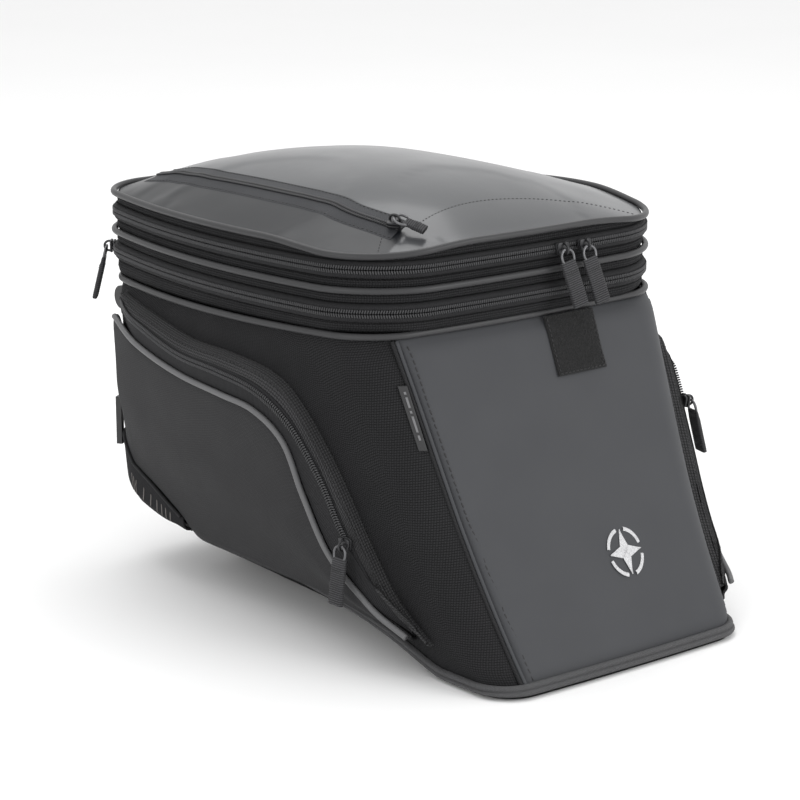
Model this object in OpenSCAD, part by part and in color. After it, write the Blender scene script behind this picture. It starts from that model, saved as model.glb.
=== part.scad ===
// Expandable motorcycle tail bag: a sloped textile tub, a zipped expansion collar and a domed,
// zipped lid with a clear map pocket. Millimetres, +Z up, the grey panel faces -Y.
// The origin is the middle of the flat base plate's underside.

/* [Body] */
// Half width of the base edge at the front
base_half = 94; // [90:1:98]
// Half width of the body's top edge at its corners
top_half = 110; // [107:1:111]
// Front face at the base
base_front = -194; // [-200:1:-188]
// Front face at the top edge
top_front = -99; // [-101:1:-97]
// Rear wall
rear_y = 170; // [168:1:171]
// Height of the body's top edge at the front
top_front_z = 190; // [188:0.5:190]
// Fall of the top edge from front to rear
top_fall = 4; // [0:0.5:6]
// Height of the side panels' lower edge at the front
skirt_z = 4; // [4:0.5:6]
// Rise of the side panels' lower edge towards the rear
skirt_rise = 33; // [28:1:36]
// Thickness of the padded textile
wall = 3; // [2:0.5:4]

/* [Lid and collar] */
// Half width of the lid's rim at its corners
lid_half = 112; // [111:1:113]
// Front of the lid's rim
lid_front = -103; // [-105:1:-102]
// Rear of the lid's rim
lid_rear = 174; // [173:1:176]
// Sideways bow of the rim at mid length
lid_bow = 19; // [16:1:21]
// Height of the lid's rim piping
rim_z = 240; // [239:0.5:242]
// Drop of the rim at the two front corners
rim_droop = 4.4; // [0:0.2:4.4]
// Drop of the rim along its right rear side
rear_droop = 4.4; // [0:0.2:4.4]
// Crown of the lid above its rim
crown = 28; // [24:1:28]
// Sag of the lid's right half below an even dome
crown_sag = 6; // [0:0.5:7]
// Parting height of the main zip
main_zip_z = 228; // [227.5:0.5:228.5]
// Height of the collar piping
collar_piping_z = 216; // [215.5:0.5:216.5]
// Parting height of the expansion zip
expansion_zip_z = 203; // [202.5:0.5:203.5]
// Radius of the piping cords
piping_r = 2; // [1.8:0.1:2.1]

/* [Side pockets] */
// Depth of the pocket at its zip
pocket_depth = 11; // [9:0.5:12]
// Forward stretch of the right pocket over the left one
right_stretch = 1.33; // [1:0.01:1.35]

/* [Zip sliders and pullers] */
// Length of a puller's webbing tab
tab_length = 25; // [20:1:28]
// Width of a puller's webbing tab
tab_width = 11; // [9:0.5:12]
// Outward lean of the hanging pullers
puller_lean = 14; // [10:1:20]

/* [Rear fittings] */
// Half width of the carry handle
handle_half = 91; // [90:1:97]
// Height of the carry handle's pivot
handle_z = 166; // [160:1:168]
// Drop of the carry handle below its pivot
handle_drop = 24; // [20:1:26]

/* [Hidden] */

textile = [0.16, 0.16, 0.17];
softshell = [0.24, 0.24, 0.25];
coated = [0.42, 0.43, 0.45];
trim_black = [0.08, 0.08, 0.09];
reflective = [0.72, 0.72, 0.74];
clear_film = [0.55, 0.57, 0.6];
steel = [0.35, 0.35, 0.37];

rear_radius = 30;        // rear corners of the body, seen from above
front_radius = 20;       // front corners of the body at the base
front_radius_gain = 6;   // added to them at the top edge
rim_front_radius = 40;   // front corners of the lid's rim
rim_rear_radius = 31;    // rear corners of the lid's rim
gap = 0.3;               // clearance between stitched pieces
guard_depth = 7;         // thickness of the padded corner guards
part_gap = 0.2;          // half the parting gap of a zip
band_out = -2;           // textile bands: outer face against the rim line
band_in = -4.8;          // textile bands: inner face
zip_out = 1.6;           // zip halves: outer face against the rim line
zip_half = 4.8;          // height of one zip half
lid_zip_half = 4.2;      // height of the lid's half of the main zip
handle_y = rear_y + 7;   // carry handle's pivot, behind the rear wall
mount_x = handle_half + 4;
arm_x = handle_half - 2.4;
pin_r = 2.2;             // carry handle's pins
grip_r = 4.6;            // carry handle's grip
rim_centre_y = (lid_front + lid_rear) / 2;
crown_power = 2.6;       // how steeply the lid rises just inside its rim
round_steps = 54;        // stations round a full ring
seam_low = 3.93;         // station of the front seam at the base
seam_high = 3.76;        // station of the front seam at the top edge
seam_shift = 0.5;        // the right front seam lies this much further round than the left one
last_station = 9;        // stations run from 0 at the rear centre, by way of the left side, to 9

function clamp01(v) = min(1, max(0, v));
function ease(v) = let (c = clamp01(v)) c * c * (3 - 2 * c);
function lerp(a, b, f) = a + (b - a) * f;
function unit(v) = v / norm(v);
function steps(a, b, n) = [for (i = [0:n]) a + (b - a) * i / n];
function ring_stations() = [for (i = [0:round_steps - 1]) last_station * i / round_steps];

// Rounded oblong seen from above, with bowed sides. Each unit of t is one straight or one corner.
function oblong(t, w, yf, yr, rf, rb, bow_x, bow_f, bow_r) =
    let (tt = t - last_station * floor(t / last_station), k = floor(tt), f = tt - k,
         p = k == 0 ? [-f * (w - rb), yr]
           : k == 1 ? [-(w - rb) + rb * cos(90 + 90 * f), yr - rb + rb * sin(90 + 90 * f)]
           : k == 2 ? [-w, lerp(yr - rb, yf + rf, f)]
           : k == 3 ? [-(w - rf) + rf * cos(180 + 90 * f), yf + rf + rf * sin(180 + 90 * f)]
           : k == 4 ? [(2 * f - 1) * (w - rf), yf]
           : k == 5 ? [w - rf + rf * cos(270 + 90 * f), yf + rf + rf * sin(270 + 90 * f)]
           : k == 6 ? [w, lerp(yf + rf, yr - rb, f)]
           : k == 7 ? [w - rb + rb * cos(90 * f), yr - rb + rb * sin(90 * f)]
           : [(1 - f) * (w - rb), yr],
         u = p.x / w, v = (2 * p.y - yf - yr) / (yr - yf))
    [p.x + u * bow_x * (1 - v * v), p.y + v * (v < 0 ? bow_f : bow_r) * (1 - u * u)];

// How far the lower edge has risen at y, from 0 at the front to 1
function rise(y) = let (q = max(0, y + 146)) 1 - exp(-q * q / (q + 14) / 75);
function skirt(y) = skirt_z + skirt_rise * rise(y) + 14 * pow(max(0, (y - 110) / 60), 1.5);
function top_edge(y) = top_front_z - top_fall * (y - top_front) / (rear_y - top_front);

// Point on the body's outer face: t is the station, s runs from the lower edge to the top edge
function skin_at(t, s) =
    let (o = 1 - s,
         kick = base_front - top_front + 18,
         p = oblong(t, lerp(base_half, top_half, s), top_front + kick * o - 18 * o * o * o,
                    rear_y - 2 * o * o, front_radius + front_radius_gain * s, rear_radius,
                    5 + 16 * s, 2 + 4 * s, 1),
         x = p.x * (1 + 0.11 * o * clamp01((p.y + 100) / 270)),
         z = skirt(p.y))
    [x, p.y, z + s * (top_edge(p.y) - z)];
function skin_normal(t, s) =
    unit(cross(skin_at(t + 0.01, s) - skin_at(t - 0.01, s),
               skin_at(t, s + 0.01) - skin_at(t, s - 0.01)));
function skin(t, s, d) = d == 0 ? skin_at(t, s) : skin_at(t, s) + d * skin_normal(t, s);
function seam(s) = lerp(seam_low, seam_high, s);
function right_seam(s) = last_station - seam(s) + seam_shift;

// Edge of the flat base plate under station t
function foot(t, inset) =
    let (p = skin_at(t, 0), k = 0.97 - 0.46 * rise(p.y),
         y = p.y - 50 * max(0, (p.y - 60) / 110),
         c = [0, -30], q = [p.x * k, y])
    q + inset * unit(c - q);

// Rim line of the lid and collar, d outside it
function rim(t, d) = oblong(t, lid_half + d, lid_front - d, lid_rear + d, rim_front_radius + d,
                            rim_rear_radius + d, lid_bow, 6, 1);
function rim_height(p) =
    rim_z - rim_droop * ease((-p.y - 20) / 65) * ease((abs(p.x) - 40) / 70)
    - rear_droop * ease((p.y + 20) / 110) * ease((p.x - 20) / 60);
function rim_at(t, d, z) = let (p = rim(t, d)) [p.x, p.y, z];
function rim_top(t, d, dz) = let (p = rim(t, d)) [p.x, p.y, rim_height(p) + dz];

// Lid surface: q runs from 0 at the rim to 1 at the crown, drop lowers it
function lid_surface(t, q, drop) =
    let (edge = rim_top(t, band_out, -0.5), c = [0, rim_centre_y],
         x = lerp(edge.x, c.x, q), y = lerp(edge.y, c.y, q))
    [x, y, lerp(edge.z, rim_z, ease(2 * q)) + crown * (1 - pow(1 - q, crown_power))
           - crown_sag * ease((x + 30) / 110) * ease(3 * q) - drop];

// Smooth curve through a short list of points; f runs from 0 to 1
function curve(list, f) =
    let (n = len(list) - 1, g = clamp01(f) * n, i = min(floor(g), n - 1), u = g - i,
         a = list[max(i - 1, 0)], b = list[i], c = list[i + 1], d = list[min(i + 2, n)])
    b + 0.5 * u * (c - a + u * (2 * a - 5 * b + 4 * c - d + u * (3 * (b - c) + d - a)));

// Pocket outlines as [station, height] on the left side
pocket_cord = [[2.02, 0.86], [2.19, 0.79], [2.37, 0.74], [2.54, 0.715], [2.66, 0.69], [2.73, 0.6],
               [2.727, 0.42], [2.735, 0.23], [2.81, 0.126], [2.89, 0.095]];
pocket_chain = [[2.02, 0.93], [2.19, 0.885], [2.38, 0.82], [2.555, 0.8], [2.69, 0.765], [2.775, 0.67],
                [2.812, 0.5], [2.815, 0.35], [2.838, 0.23], [2.9, 0.13]];
pocket_outer = [[2.02, 0.95], [2.22, 0.915], [2.41, 0.87], [2.59, 0.86], [2.735, 0.825], [2.8, 0.74],
                [2.84, 0.54], [2.852, 0.28], [2.87, 0.16], [2.93, 0.09]];
panel_top = concat([[1.74, 0.72], [1.87, 0.84]], pocket_cord);
panel_foot = [[1.74, 0.285], [1.86, 0.25], [1.98, 0.205], [2.08, 0.165], [2.14, 0.11], [2.21, 0.045],
              [2.32, 0.04], [2.44, 0.04], [2.55, 0.04], [2.66, 0.045], [2.77, 0.05], [2.87, 0.065]];
guard_top = [[1.15, 0.25], [1.4, 0.26], [1.7, 0.265], [1.86, 0.235], [1.98, 0.19], [2.07, 0.15],
             [2.12, 0.105], [2.17, 0.055]];

// Station and height on one side: the right pocket is the mirrored left one, stretched forwards
function on_side(p, side) =
    side < 0 ? p : [last_station - 2 - (p.x - 2) * (p.x > 2 ? right_stretch : 1), p.y];
function pocket_point(list, f, side, d) =
    let (p = on_side(curve(list, f), side)) skin(p.x, p.y, d);

// Closed solid between two grids of points; wrap joins the last row to the first
module slab(outer, inner, wrap = false) {
    n = len(outer);
    m = len(outer[0]);
    last = wrap ? n - 1 : n - 2;
    points = concat([for (row = outer) each row], [for (row = inner) each row]);
    function o(i, j) = (i % n) * m + j;
    function q(i, j) = n * m + o(i, j);
    faces = concat(
        [for (i = [0:last], j = [0:m - 2]) each [
            [o(i, j), o(i, j + 1), o(i + 1, j + 1)], [o(i, j), o(i + 1, j + 1), o(i + 1, j)],
            [q(i, j), q(i + 1, j + 1), q(i, j + 1)], [q(i, j), q(i + 1, j), q(i + 1, j + 1)]]],
        [for (i = [0:last]) each [
            [o(i, 0), o(i + 1, 0), q(i + 1, 0)], [o(i, 0), q(i + 1, 0), q(i, 0)],
            [o(i + 1, m - 1), o(i, m - 1), q(i, m - 1)],
            [o(i + 1, m - 1), q(i, m - 1), q(i + 1, m - 1)]]],
        wrap ? [] : [for (j = [0:m - 2]) each [
            [o(0, j + 1), o(0, j), q(0, j)], [o(0, j + 1), q(0, j), q(0, j + 1)],
            [o(n - 1, j), o(n - 1, j + 1), q(n - 1, j + 1)],
            [o(n - 1, j), q(n - 1, j + 1), q(n - 1, j)]]]);
    polyhedron(points, faces, convexity = 10);
}

// Round cord along a list of points; up is a direction that the cord never follows
module cord(path, r, up, wrap = false, sides = 6) {
    n = len(path);
    rings = [for (i = [0:n - 1])
        let (a = path[wrap ? (i + n - 1) % n : max(i - 1, 0)],
             b = path[wrap ? (i + 1) % n : min(i + 1, n - 1)],
             tangent = unit(b - a), e = unit(cross(tangent, up)), f = cross(e, tangent))
        [for (k = [0:sides - 1])
            path[i] + r * (cos(360 * k / sides) * f + sin(360 * k / sides) * e)]];
    points = [for (ring = rings) each ring];
    last = wrap ? n - 1 : n - 2;
    function o(i, k) = (i % n) * sides + k % sides;
    faces = concat(
        [for (i = [0:last], k = [0:sides - 1]) each [
            [o(i, k), o(i, k + 1), o(i + 1, k + 1)], [o(i, k), o(i + 1, k + 1), o(i + 1, k)]]],
        wrap ? [] : [[for (k = [sides - 1:-1:0]) o(0, k)], [for (k = [0:sides - 1]) o(n - 1, k)]]);
    polyhedron(points, faces, convexity = 10);
}

// Ring-shaped textile band between two heights; ts are its stations
module rim_band(z0, z1, d_in, d_out, ts, wrap = true) {
    slab([for (t = ts) [rim_at(t, d_out, z0), rim_at(t, d_out, z1)]],
         [for (t = ts) [rim_at(t, d_in, z0), rim_at(t, d_in, z1)]], wrap);
}

// Piece of the body's skin between stations t0 and t1 and heights s0 and s1
module skin_patch(t0, t1, s0, s1, d0, d1, n, m) {
    slab([for (t = steps(t0, t1, n)) [for (s = steps(s0, s1, m)) skin(t, s, d1)]],
         [for (t = steps(t0, t1, n)) [for (s = steps(s0, s1, m)) skin(t, s, d0)]]);
}

// Strip between two pocket outlines
module pocket_strip(edge_a, edge_b, a0, a1, b0, b1, side, n) {
    fs = steps(0, 1, n);
    slab([for (f = fs) [pocket_point(edge_b, f, side, b1), pocket_point(edge_a, f, side, a1)]],
         [for (f = fs) [pocket_point(edge_b, f, side, b0), pocket_point(edge_a, f, side, a0)]]);
}

// ---- body ----

module base_plate() {
    color(trim_black)
        linear_extrude(wall)
            polygon([for (t = ring_stations()) foot(t, wall + gap)]);
}

module base_board() {
    color(textile)
        translate([0, 0, wall + gap])
            linear_extrude(2)
                polygon([for (t = ring_stations()) foot(t, wall + 9)]);
}

module base_hull() {
    ts = ring_stations();
    color(textile)
        slab([for (t = ts) [[foot(t, 0).x, foot(t, 0).y, 0], skin(t, 0, -gap) - [0, 0, 6 * gap]]],
             [for (t = ts) [[foot(t, wall).x, foot(t, wall).y, wall],
                            skin(t, 0, -wall) - [0, 0, 6 * gap]]], true);
}

module base_binding() {
    ts = ring_stations();
    color(reflective)
        slab([for (t = ts) [skin(t, -0.014, 2.4), skin(t, 0.02, 2.4)]],
             [for (t = ts) [skin(t, -0.014, 0.4), skin(t, 0.02, 0.4)]], true);
}

function side_station(f, s) = f * (f < 0 ? last_station - right_seam(s) : seam(s));

module side_shell() {
    fs = steps(-1, 1, 44);
    ss = steps(0, 0.985, 7);
    color(textile)
        slab([for (f = fs) [for (s = ss) skin(side_station(f, s), s, 0)]],
             [for (f = fs) [for (s = ss) skin(side_station(f, s), s, -wall)]]);
}

function front_station(f, s) = lerp(seam(s) + 0.006, right_seam(s) - 0.006, f);

module front_panel() {
    fs = steps(0, 1, 20);
    ss = steps(0, 0.985, 8);
    color(coated)
        slab([for (f = fs) [for (s = ss) skin(front_station(f, s), s, 0)]],
             [for (f = fs) [for (s = ss) skin(front_station(f, s), s, -wall)]]);
}

module front_binding(side) {
    ss = side < 0 ? steps(0.03, 0.98, 12) : steps(0.98, 0.03, 12);
    function station(s, offset) = side < 0 ? seam(s) + offset : right_seam(s) - offset;
    color(trim_black)
        slab([for (s = ss) [skin(station(s, 0.05), s, 1.2), skin(station(s, -0.05), s, 1.2)]],
             [for (s = ss) [skin(station(s, 0.05), s, 0.2), skin(station(s, -0.05), s, 0.2)]]);
}

module body_piping() {
    color(trim_black)
        cord([for (t = ring_stations()) skin(t, 1, 0)], piping_r, [0, 0, 1], true);
}

module body_liner() {
    ts = ring_stations();
    ss = steps(0.06, 0.95, 5);
    outside = -wall - 3 * gap;
    color(softshell)
        slab([for (t = ts) [for (s = ss) skin(t, s, outside)]],
             [for (t = ts) [for (s = ss) skin(t, s, outside - 1)]], true);
}

module upper_band() {
    ts = ring_stations();
    top = expansion_zip_z - zip_half - gap;
    function low(t, d) = let (p = rim(t, d)) [p.x, p.y, top_edge(p.y) + piping_r + gap];
    color(textile)
        slab([for (t = ts) [low(t, band_out), rim_at(t, band_out, top)]],
             [for (t = ts) [low(t, band_in), rim_at(t, band_in, top)]], true);
}

module expansion_zip_lower() {
    color(trim_black)
        rim_band(expansion_zip_z - zip_half, expansion_zip_z - part_gap, band_in, zip_out,
                 ring_stations());
}

module expansion_gusset() {
    color(textile)
        rim_band(expansion_zip_z - 10, expansion_zip_z + 10, band_in - 2.4, band_in - 1.2,
                 ring_stations());
}

module label_tab() {
    color(trim_black)
        skin_patch(3.6, 3.72, 0.66, 0.85, 0.3, 1.3, 3, 4);
}

module emblem_patch() {
    color(reflective)
        skin_patch(4.585, 4.715, 0.2, 0.36, 0.3, 1.1, 3, 4);
}

// Padded guard round a lower rear corner; the pocket panel ends above it
module corner_guard(side) {
    fs = side < 0 ? steps(0, 1, 14) : steps(1, 0, 14);
    function depth(f) = lerp(2.4, guard_depth, ease(4 * f));
    function at(f, k, d) =
        let (p = curve(guard_top, f), t = side < 0 ? p.x : last_station - p.x)
        skin(t, lerp(0.042, p.y, k), d);
    color(softshell)
        slab([for (f = fs) [for (k = [0, 0.5, 1]) at(f, k, depth(f))]],
             [for (f = fs) [for (k = [0, 0.5, 1]) at(f, k, gap)]]);
}

module pocket_gusset(side) {
    color(textile)
        pocket_strip(pocket_outer, pocket_chain, gap, 5.5, pocket_depth - 2.6, pocket_depth - 0.4,
                     side, 22);
}

// Body half of the pocket zip, standing on the gusset's crest
module pocket_zip(side) {
    fs = steps(0, 1, 22);
    function at(f, across, d) =
        let (p = lerp(curve(pocket_chain, f), curve(pocket_outer, f), across), q = on_side(p, side))
        skin(q.x, q.y, d);
    color(trim_black)
        slab([for (f = fs) [at(f, 0.02, pocket_depth + 1.4), at(f, 0.22, pocket_depth + 1.1)]],
             [for (f = fs) [at(f, 0.02, pocket_depth - 0.1), at(f, 0.22, pocket_depth - 0.4)]]);
}

// ---- rear fittings ----

// Lug on an upper rear corner, shaped to the corner's round, with a bore for the handle's pin
module handle_mount(side) {
    color(trim_black)
        difference() {
            translate([side * mount_x, 0, handle_z]) {
                translate([-3, 150, -7.5])
                    cube([6, handle_y - 150, 15]);
                translate([-3, handle_y, 0])
                    rotate([0, 90, 0])
                        cylinder(r = 7.5, h = 6, $fn = 48);
            }
            translate([side * mount_x - 4, handle_y, handle_z])
                rotate([0, 90, 0])
                    cylinder(r = pin_r + 0.1, h = 8, $fn = 32);
            translate([side * 80, 140, handle_z - 20])
                cylinder(r = 31.6, h = 40, $fn = 96);
        }
}

// Moulded handle: two arms with pivot pins and a round grip
module carry_handle() {
    color(trim_black)
        translate([0, handle_y, handle_z]) {
            for (side = [-1, 1])
                translate([side * arm_x, 0, 0]) {
                    translate([-3, -3.5, -handle_drop])
                        cube([6, 7, handle_drop]);
                    rotate([0, 90, 0])
                        translate([0, 0, -3])
                            cylinder(r = 5, h = 6, $fn = 32);
                    translate([side > 0 ? 2.9 : -9.9, 0, 0])
                        rotate([0, 90, 0])
                            cylinder(r = pin_r, h = 7, $fn = 32);
                }
            translate([-arm_x - 3, 0, -handle_drop])
                rotate([0, 90, 0])
                    cylinder(r = grip_r, h = 2 * (arm_x + 3), $fn = 32);
        }
}

module strap_tab(side) {
    t = side < 0 ? strap_station : last_station - strap_station;
    color(trim_black)
        skin_patch(t - 0.2, t + 0.2, 0.43, 0.5, gap, 5.6, 3, 2);
}

// Flat plastic ring that hangs from the strap tab on a lower rear corner
module strap_ring(side) {
    color(trim_black)
        multmatrix(frame_at(strap_anchor(side), strap_out(side), [0, 0, -1]))
            difference() {
                translate([-14, -31, -1.8])
                    cube([28, 31, 3.6]);
                translate([-10, -26, -3])
                    cube([20, 21, 6]);
            }
}

// ---- collar ----

module collar_band() {
    color(textile)
        rim_band(expansion_zip_z + zip_half + gap, main_zip_z - zip_half - gap, band_in, band_out,
                 ring_stations());
}

module collar_piping() {
    color(trim_black)
        cord([for (t = ring_stations()) rim_at(t, 0.4, collar_piping_z)], piping_r, [0, 0, 1], true);
}

module expansion_zip_upper() {
    color(trim_black)
        rim_band(expansion_zip_z + part_gap, expansion_zip_z + zip_half, band_in, zip_out,
                 ring_stations());
}

module main_zip_lower() {
    color(trim_black)
        rim_band(main_zip_z - zip_half, main_zip_z - part_gap, band_in, zip_out, ring_stations());
}

// ---- lid ----

module main_zip_upper() {
    color(trim_black)
        rim_band(main_zip_z + part_gap, main_zip_z + lid_zip_half, band_in, zip_out,
                 steps(0.95, 8.05, 44), false);
}

module lid_hinge_tape() {
    color(textile)
        rim_band(main_zip_z + part_gap, main_zip_z + lid_zip_half, band_in, band_out + 1,
                 steps(-0.94, 0.94, 1), false);
}

module lid_band() {
    ts = ring_stations();
    low = main_zip_z + lid_zip_half + gap;
    color(textile)
        slab([for (t = ts) [rim_at(t, band_out, low), rim_top(t, band_out, -piping_r - 0.8)]],
             [for (t = ts) [rim_at(t, band_in, low), rim_top(t, band_in, -piping_r - 0.8)]], true);
}

module lid_piping() {
    color(trim_black)
        cord([for (t = ring_stations()) rim_top(t, 0.4, 0)], piping_r, [0, 0, 1], true);
}

// Domed cover with the clear map window
module lid_top() {
    color(clear_film)
        lid_cover(0, 2.2, 0);
}

module lid_liner() {
    color(textile)
        lid_cover(2.6, 3.8, 0.03);
}

// One closed cap: rows run from the rim inwards and meet in a small flat middle polygon
module lid_cover(drop_top, drop_under, inset) {
    ts = ring_stations();
    qs = [inset, 0.1, 0.22, 0.4, 0.62, 0.85];
    n = len(ts);
    m = len(qs);
    points = concat([for (t = ts) each [for (q = qs) lid_surface(t, q, drop_top)]],
                    [for (t = ts) each [for (q = qs) lid_surface(t, q, drop_under)]],
                    [lid_surface(0, 1, drop_top), lid_surface(0, 1, drop_under)]);
    crown_top = 2 * n * m;
    function o(i, j) = (i % n) * m + j;
    function q(i, j) = n * m + o(i, j);
    faces = concat(
        [for (i = [0:n - 1], j = [0:m - 2]) each [
            [o(i, j), o(i, j + 1), o(i + 1, j + 1)], [o(i, j), o(i + 1, j + 1), o(i + 1, j)],
            [q(i, j), q(i + 1, j + 1), q(i, j + 1)], [q(i, j), q(i + 1, j), q(i + 1, j + 1)]]],
        [for (i = [0:n - 1]) each [
            [o(i, 0), o(i + 1, 0), q(i + 1, 0)], [o(i, 0), q(i + 1, 0), q(i, 0)],
            [o(i, m - 1), crown_top, o(i + 1, m - 1)],
            [q(i, m - 1), q(i + 1, m - 1), crown_top + 1]]]);
    polyhedron(points, faces, convexity = 10);
}

// ---- pocket panels ----

module pocket_panel(side) {
    fs = side < 0 ? steps(0, 1, 22) : steps(1, 0, 22);
    ks = steps(0, 1, 5);
    function at(f, k, d) =
        let (p = on_side(lerp(curve(panel_foot, f), curve(panel_top, f), k), side)) skin(p.x, p.y, d);
    function depth(f, k) =
        lerp(guard_depth + 0.5, pocket_depth + 1, ease(1.8 * k))
        * (1 - 0.75 * k * ease(1 - 4 * f));
    color(softshell)
        slab([for (f = fs) [for (k = ks) at(f, k * 0.985, depth(f, k))]],
             [for (f = fs) [for (k = ks) at(f, k * 0.985, depth(f, k) - 2.5)]]);
}

module pocket_piping(side) {
    color(reflective)
        cord([for (f = steps(0, 1, 26)) pocket_point(pocket_cord, f, side, pocket_depth + 3.2)],
             piping_r, [1, 0, 0]);
}

// Panel half of the pocket zip, from the piping to the chain
module pocket_tape(side) {
    fs = side < 0 ? steps(0, 1, 22) : steps(1, 0, 22);
    function at(f, across, d) =
        let (p = lerp(curve(pocket_cord, f), curve(pocket_chain, f), across), q = on_side(p, side))
        skin(q.x, q.y, d);
    color(trim_black)
        slab([for (f = fs) [at(f, 0.18, pocket_depth + 1.1), at(f, 0.95, pocket_depth + 1.4)]],
             [for (f = fs) [at(f, 0.18, pocket_depth - 0.2), at(f, 0.95, pocket_depth)]]);
}

// ---- zip sliders and pullers ----

// Frame with its origin at p, Z along out, and -Y along the part of hang that is square to out
function frame_at(p, out, hang) =
    let (n = unit(out), h = unit(hang - (hang * n) * n), x = cross(n, h))
    [[x.x, -h.x, n.x, p.x], [x.y, -h.y, n.y, p.y], [x.z, -h.z, n.z, p.z], [0, 0, 0, 1]];

lug_height = 5.4;   // pivot height above the chain
ring_half = 4.2;    // half width of the puller's wire ring
ring_drop = 9;      // length of the wire ring

// Zip slider: a body over the chain with a lug that the puller's ring passes through
module slider() {
    color(steel)
        difference() {
            union() {
                translate([-4.5, -4, 0.6])
                    cube([9, 8, 2.6]);
                translate([-1.2, -2.2, 3])
                    cube([2.4, 4.4, 3]);
                translate([-1.2, 0, lug_height])
                    rotate([0, 90, 0])
                        cylinder(r = 2.2, h = 2.4, $fn = 32);
            }
            translate([-3, 0, lug_height])
                rotate([0, 90, 0])
                    cylinder(r = 1.2, h = 6, $fn = 32);
        }
}

// Wire ring with a webbing tab, hanging from the origin along -Y; lean tips it outwards
module puller(lean, twist, width, length) {
    wire = 0.8;
    rotate([-lean, 0, 0]) {
        color(steel) {
            for (y = [0, -ring_drop])
                translate([-ring_half, y, 0])
                    rotate([0, 90, 0])
                        cylinder(r = wire, h = 2 * ring_half, $fn = 16);
            for (x = [-ring_half, ring_half])
                translate([x, 0, 0])
                    rotate([90, 0, 0])
                        cylinder(r = wire, h = ring_drop, $fn = 16);
        }
        color(trim_black)
            translate([0, -ring_drop, 0])
                rotate([0, 0, twist])
                    translate([-width / 2, -length, -1.6])
                        cube([width, length + 1.4, 3.2]);
    }
}

slider_stand = 0.1;  // slider origin above the chain's face
front_face_y = lid_front - zip_out - 6 - slider_stand;
function main_x(side) = side < 0 ? 19 : 36;
function main_frame(side) =
    frame_at([main_x(side), front_face_y, main_zip_z], [0, -1, 0], [0, 0, -1]);

expansion_station = 1.567;
expansion_angle = 141;
expansion_out = [cos(expansion_angle), sin(expansion_angle), 0];
expansion_point = rim_at(expansion_station, zip_out, expansion_zip_z) + slider_stand * expansion_out;
expansion_frame = frame_at(expansion_point, expansion_out, [0, 0, -1]);

function pocket_slider_f(side) = side < 0 ? 0.81 : 0.6;
function pocket_slider_spot(side) =
    let (p = on_side(curve(pocket_chain, pocket_slider_f(side)), side)) p;
function pocket_out(side) = let (p = pocket_slider_spot(side)) skin_normal(p.x, p.y);
function pocket_slider_point(side) =
    let (p = pocket_slider_spot(side)) skin(p.x, p.y, pocket_depth + 1.6);
function pocket_frame(side) = frame_at(pocket_slider_point(side), pocket_out(side), [0, 0, -1]);

map_tab_width = 7;
map_tab_length = 10;
map_station = 3.69;
map_reach = 0.152;
map_point = lid_surface(map_station, map_reach, -1.6);
map_frame = frame_at(map_point, [-0.22, -0.3, 1], [0.5, -1, 0]);

strap_station = 1.42;
function strap_anchor(side) =
    let (t = side < 0 ? strap_station : last_station - strap_station) skin(t, 0.42, 8);
function strap_out(side) =
    let (t = side < 0 ? strap_station : last_station - strap_station, n = skin_normal(t, 0.4))
    [n.x, n.y, 0];

module at_lug(frame) {
    multmatrix(frame)
        translate([0, 0, lug_height])
            children();
}

module main_slider(side) { multmatrix(main_frame(side)) slider(); }
module main_puller(side) { at_lug(main_frame(side)) puller(puller_lean, 11, tab_width, tab_length); }
module expansion_slider() { multmatrix(expansion_frame) slider(); }
module expansion_puller() { at_lug(expansion_frame) puller(puller_lean, 0, tab_width, tab_length); }
module pocket_slider(side) { multmatrix(pocket_frame(side)) slider(); }
module pocket_puller(side) { at_lug(pocket_frame(side)) puller(puller_lean, 0, tab_width, tab_length); }
module map_slider() { multmatrix(map_frame) slider(); }
module map_puller() { at_lug(map_frame) puller(-12, 0, map_tab_width, map_tab_length); }

// Zip along the left edge of the map window, lying on the lid; [station, reach] from the front
map_arc = [[3.83, 0.11], [3.5, 0.205], [3.0, 0.28], [2.73, 0.295], [2.435, 0.29], [2.1, 0.25],
           [1.55, 0.158]];

module map_zip() {
    fs = steps(0, 1, 16);
    function at(f, across, rise) = let (p = curve(map_arc, f)) lid_surface(p.x, p.y + across, -rise);
    color(trim_black)
        slab([for (f = fs) [at(f, 0.035, 1.2), at(f, -0.035, 1.2)]],
             [for (f = fs) [at(f, 0.035, 0.3), at(f, -0.035, 0.3)]]);
}

module hook_flap() {
    color(trim_black)
        skin_patch(4.552, 4.79, 0.8, 0.972, 0.5, 2.4, 4, 4);
}

base_plate();
base_board();
base_hull();
base_binding();
side_shell();
front_panel();
front_binding(-1);  // front_binding_left
front_binding(1);  // front_binding_right
body_piping();
body_liner();
upper_band();
expansion_zip_lower();
expansion_gusset();
label_tab();
emblem_patch();
corner_guard(-1);  // corner_guard_left
corner_guard(1);  // corner_guard_right
pocket_gusset(-1);  // pocket_gusset_left
pocket_gusset(1);  // pocket_gusset_right
pocket_zip(-1);  // pocket_zip_left
pocket_zip(1);  // pocket_zip_right
handle_mount(-1);  // handle_mount_left
handle_mount(1);  // handle_mount_right
strap_tab(-1);  // strap_tab_left
strap_tab(1);  // strap_tab_right
collar_band();
collar_piping();
expansion_zip_upper();
main_zip_lower();
lid_band();
lid_piping();
lid_top();
lid_liner();
main_zip_upper();
lid_hinge_tape();
map_zip();
pocket_panel(-1);  // pocket_panel_left
pocket_panel(1);  // pocket_panel_right
pocket_piping(-1);  // pocket_piping_left
pocket_piping(1);  // pocket_piping_right
pocket_tape(-1);  // pocket_tape_left
pocket_tape(1);  // pocket_tape_right
main_slider(-1);  // main_slider_left
main_slider(1);  // main_slider_right
main_puller(-1);  // main_puller_left
main_puller(1);  // main_puller_right
expansion_slider();
expansion_puller();
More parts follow.
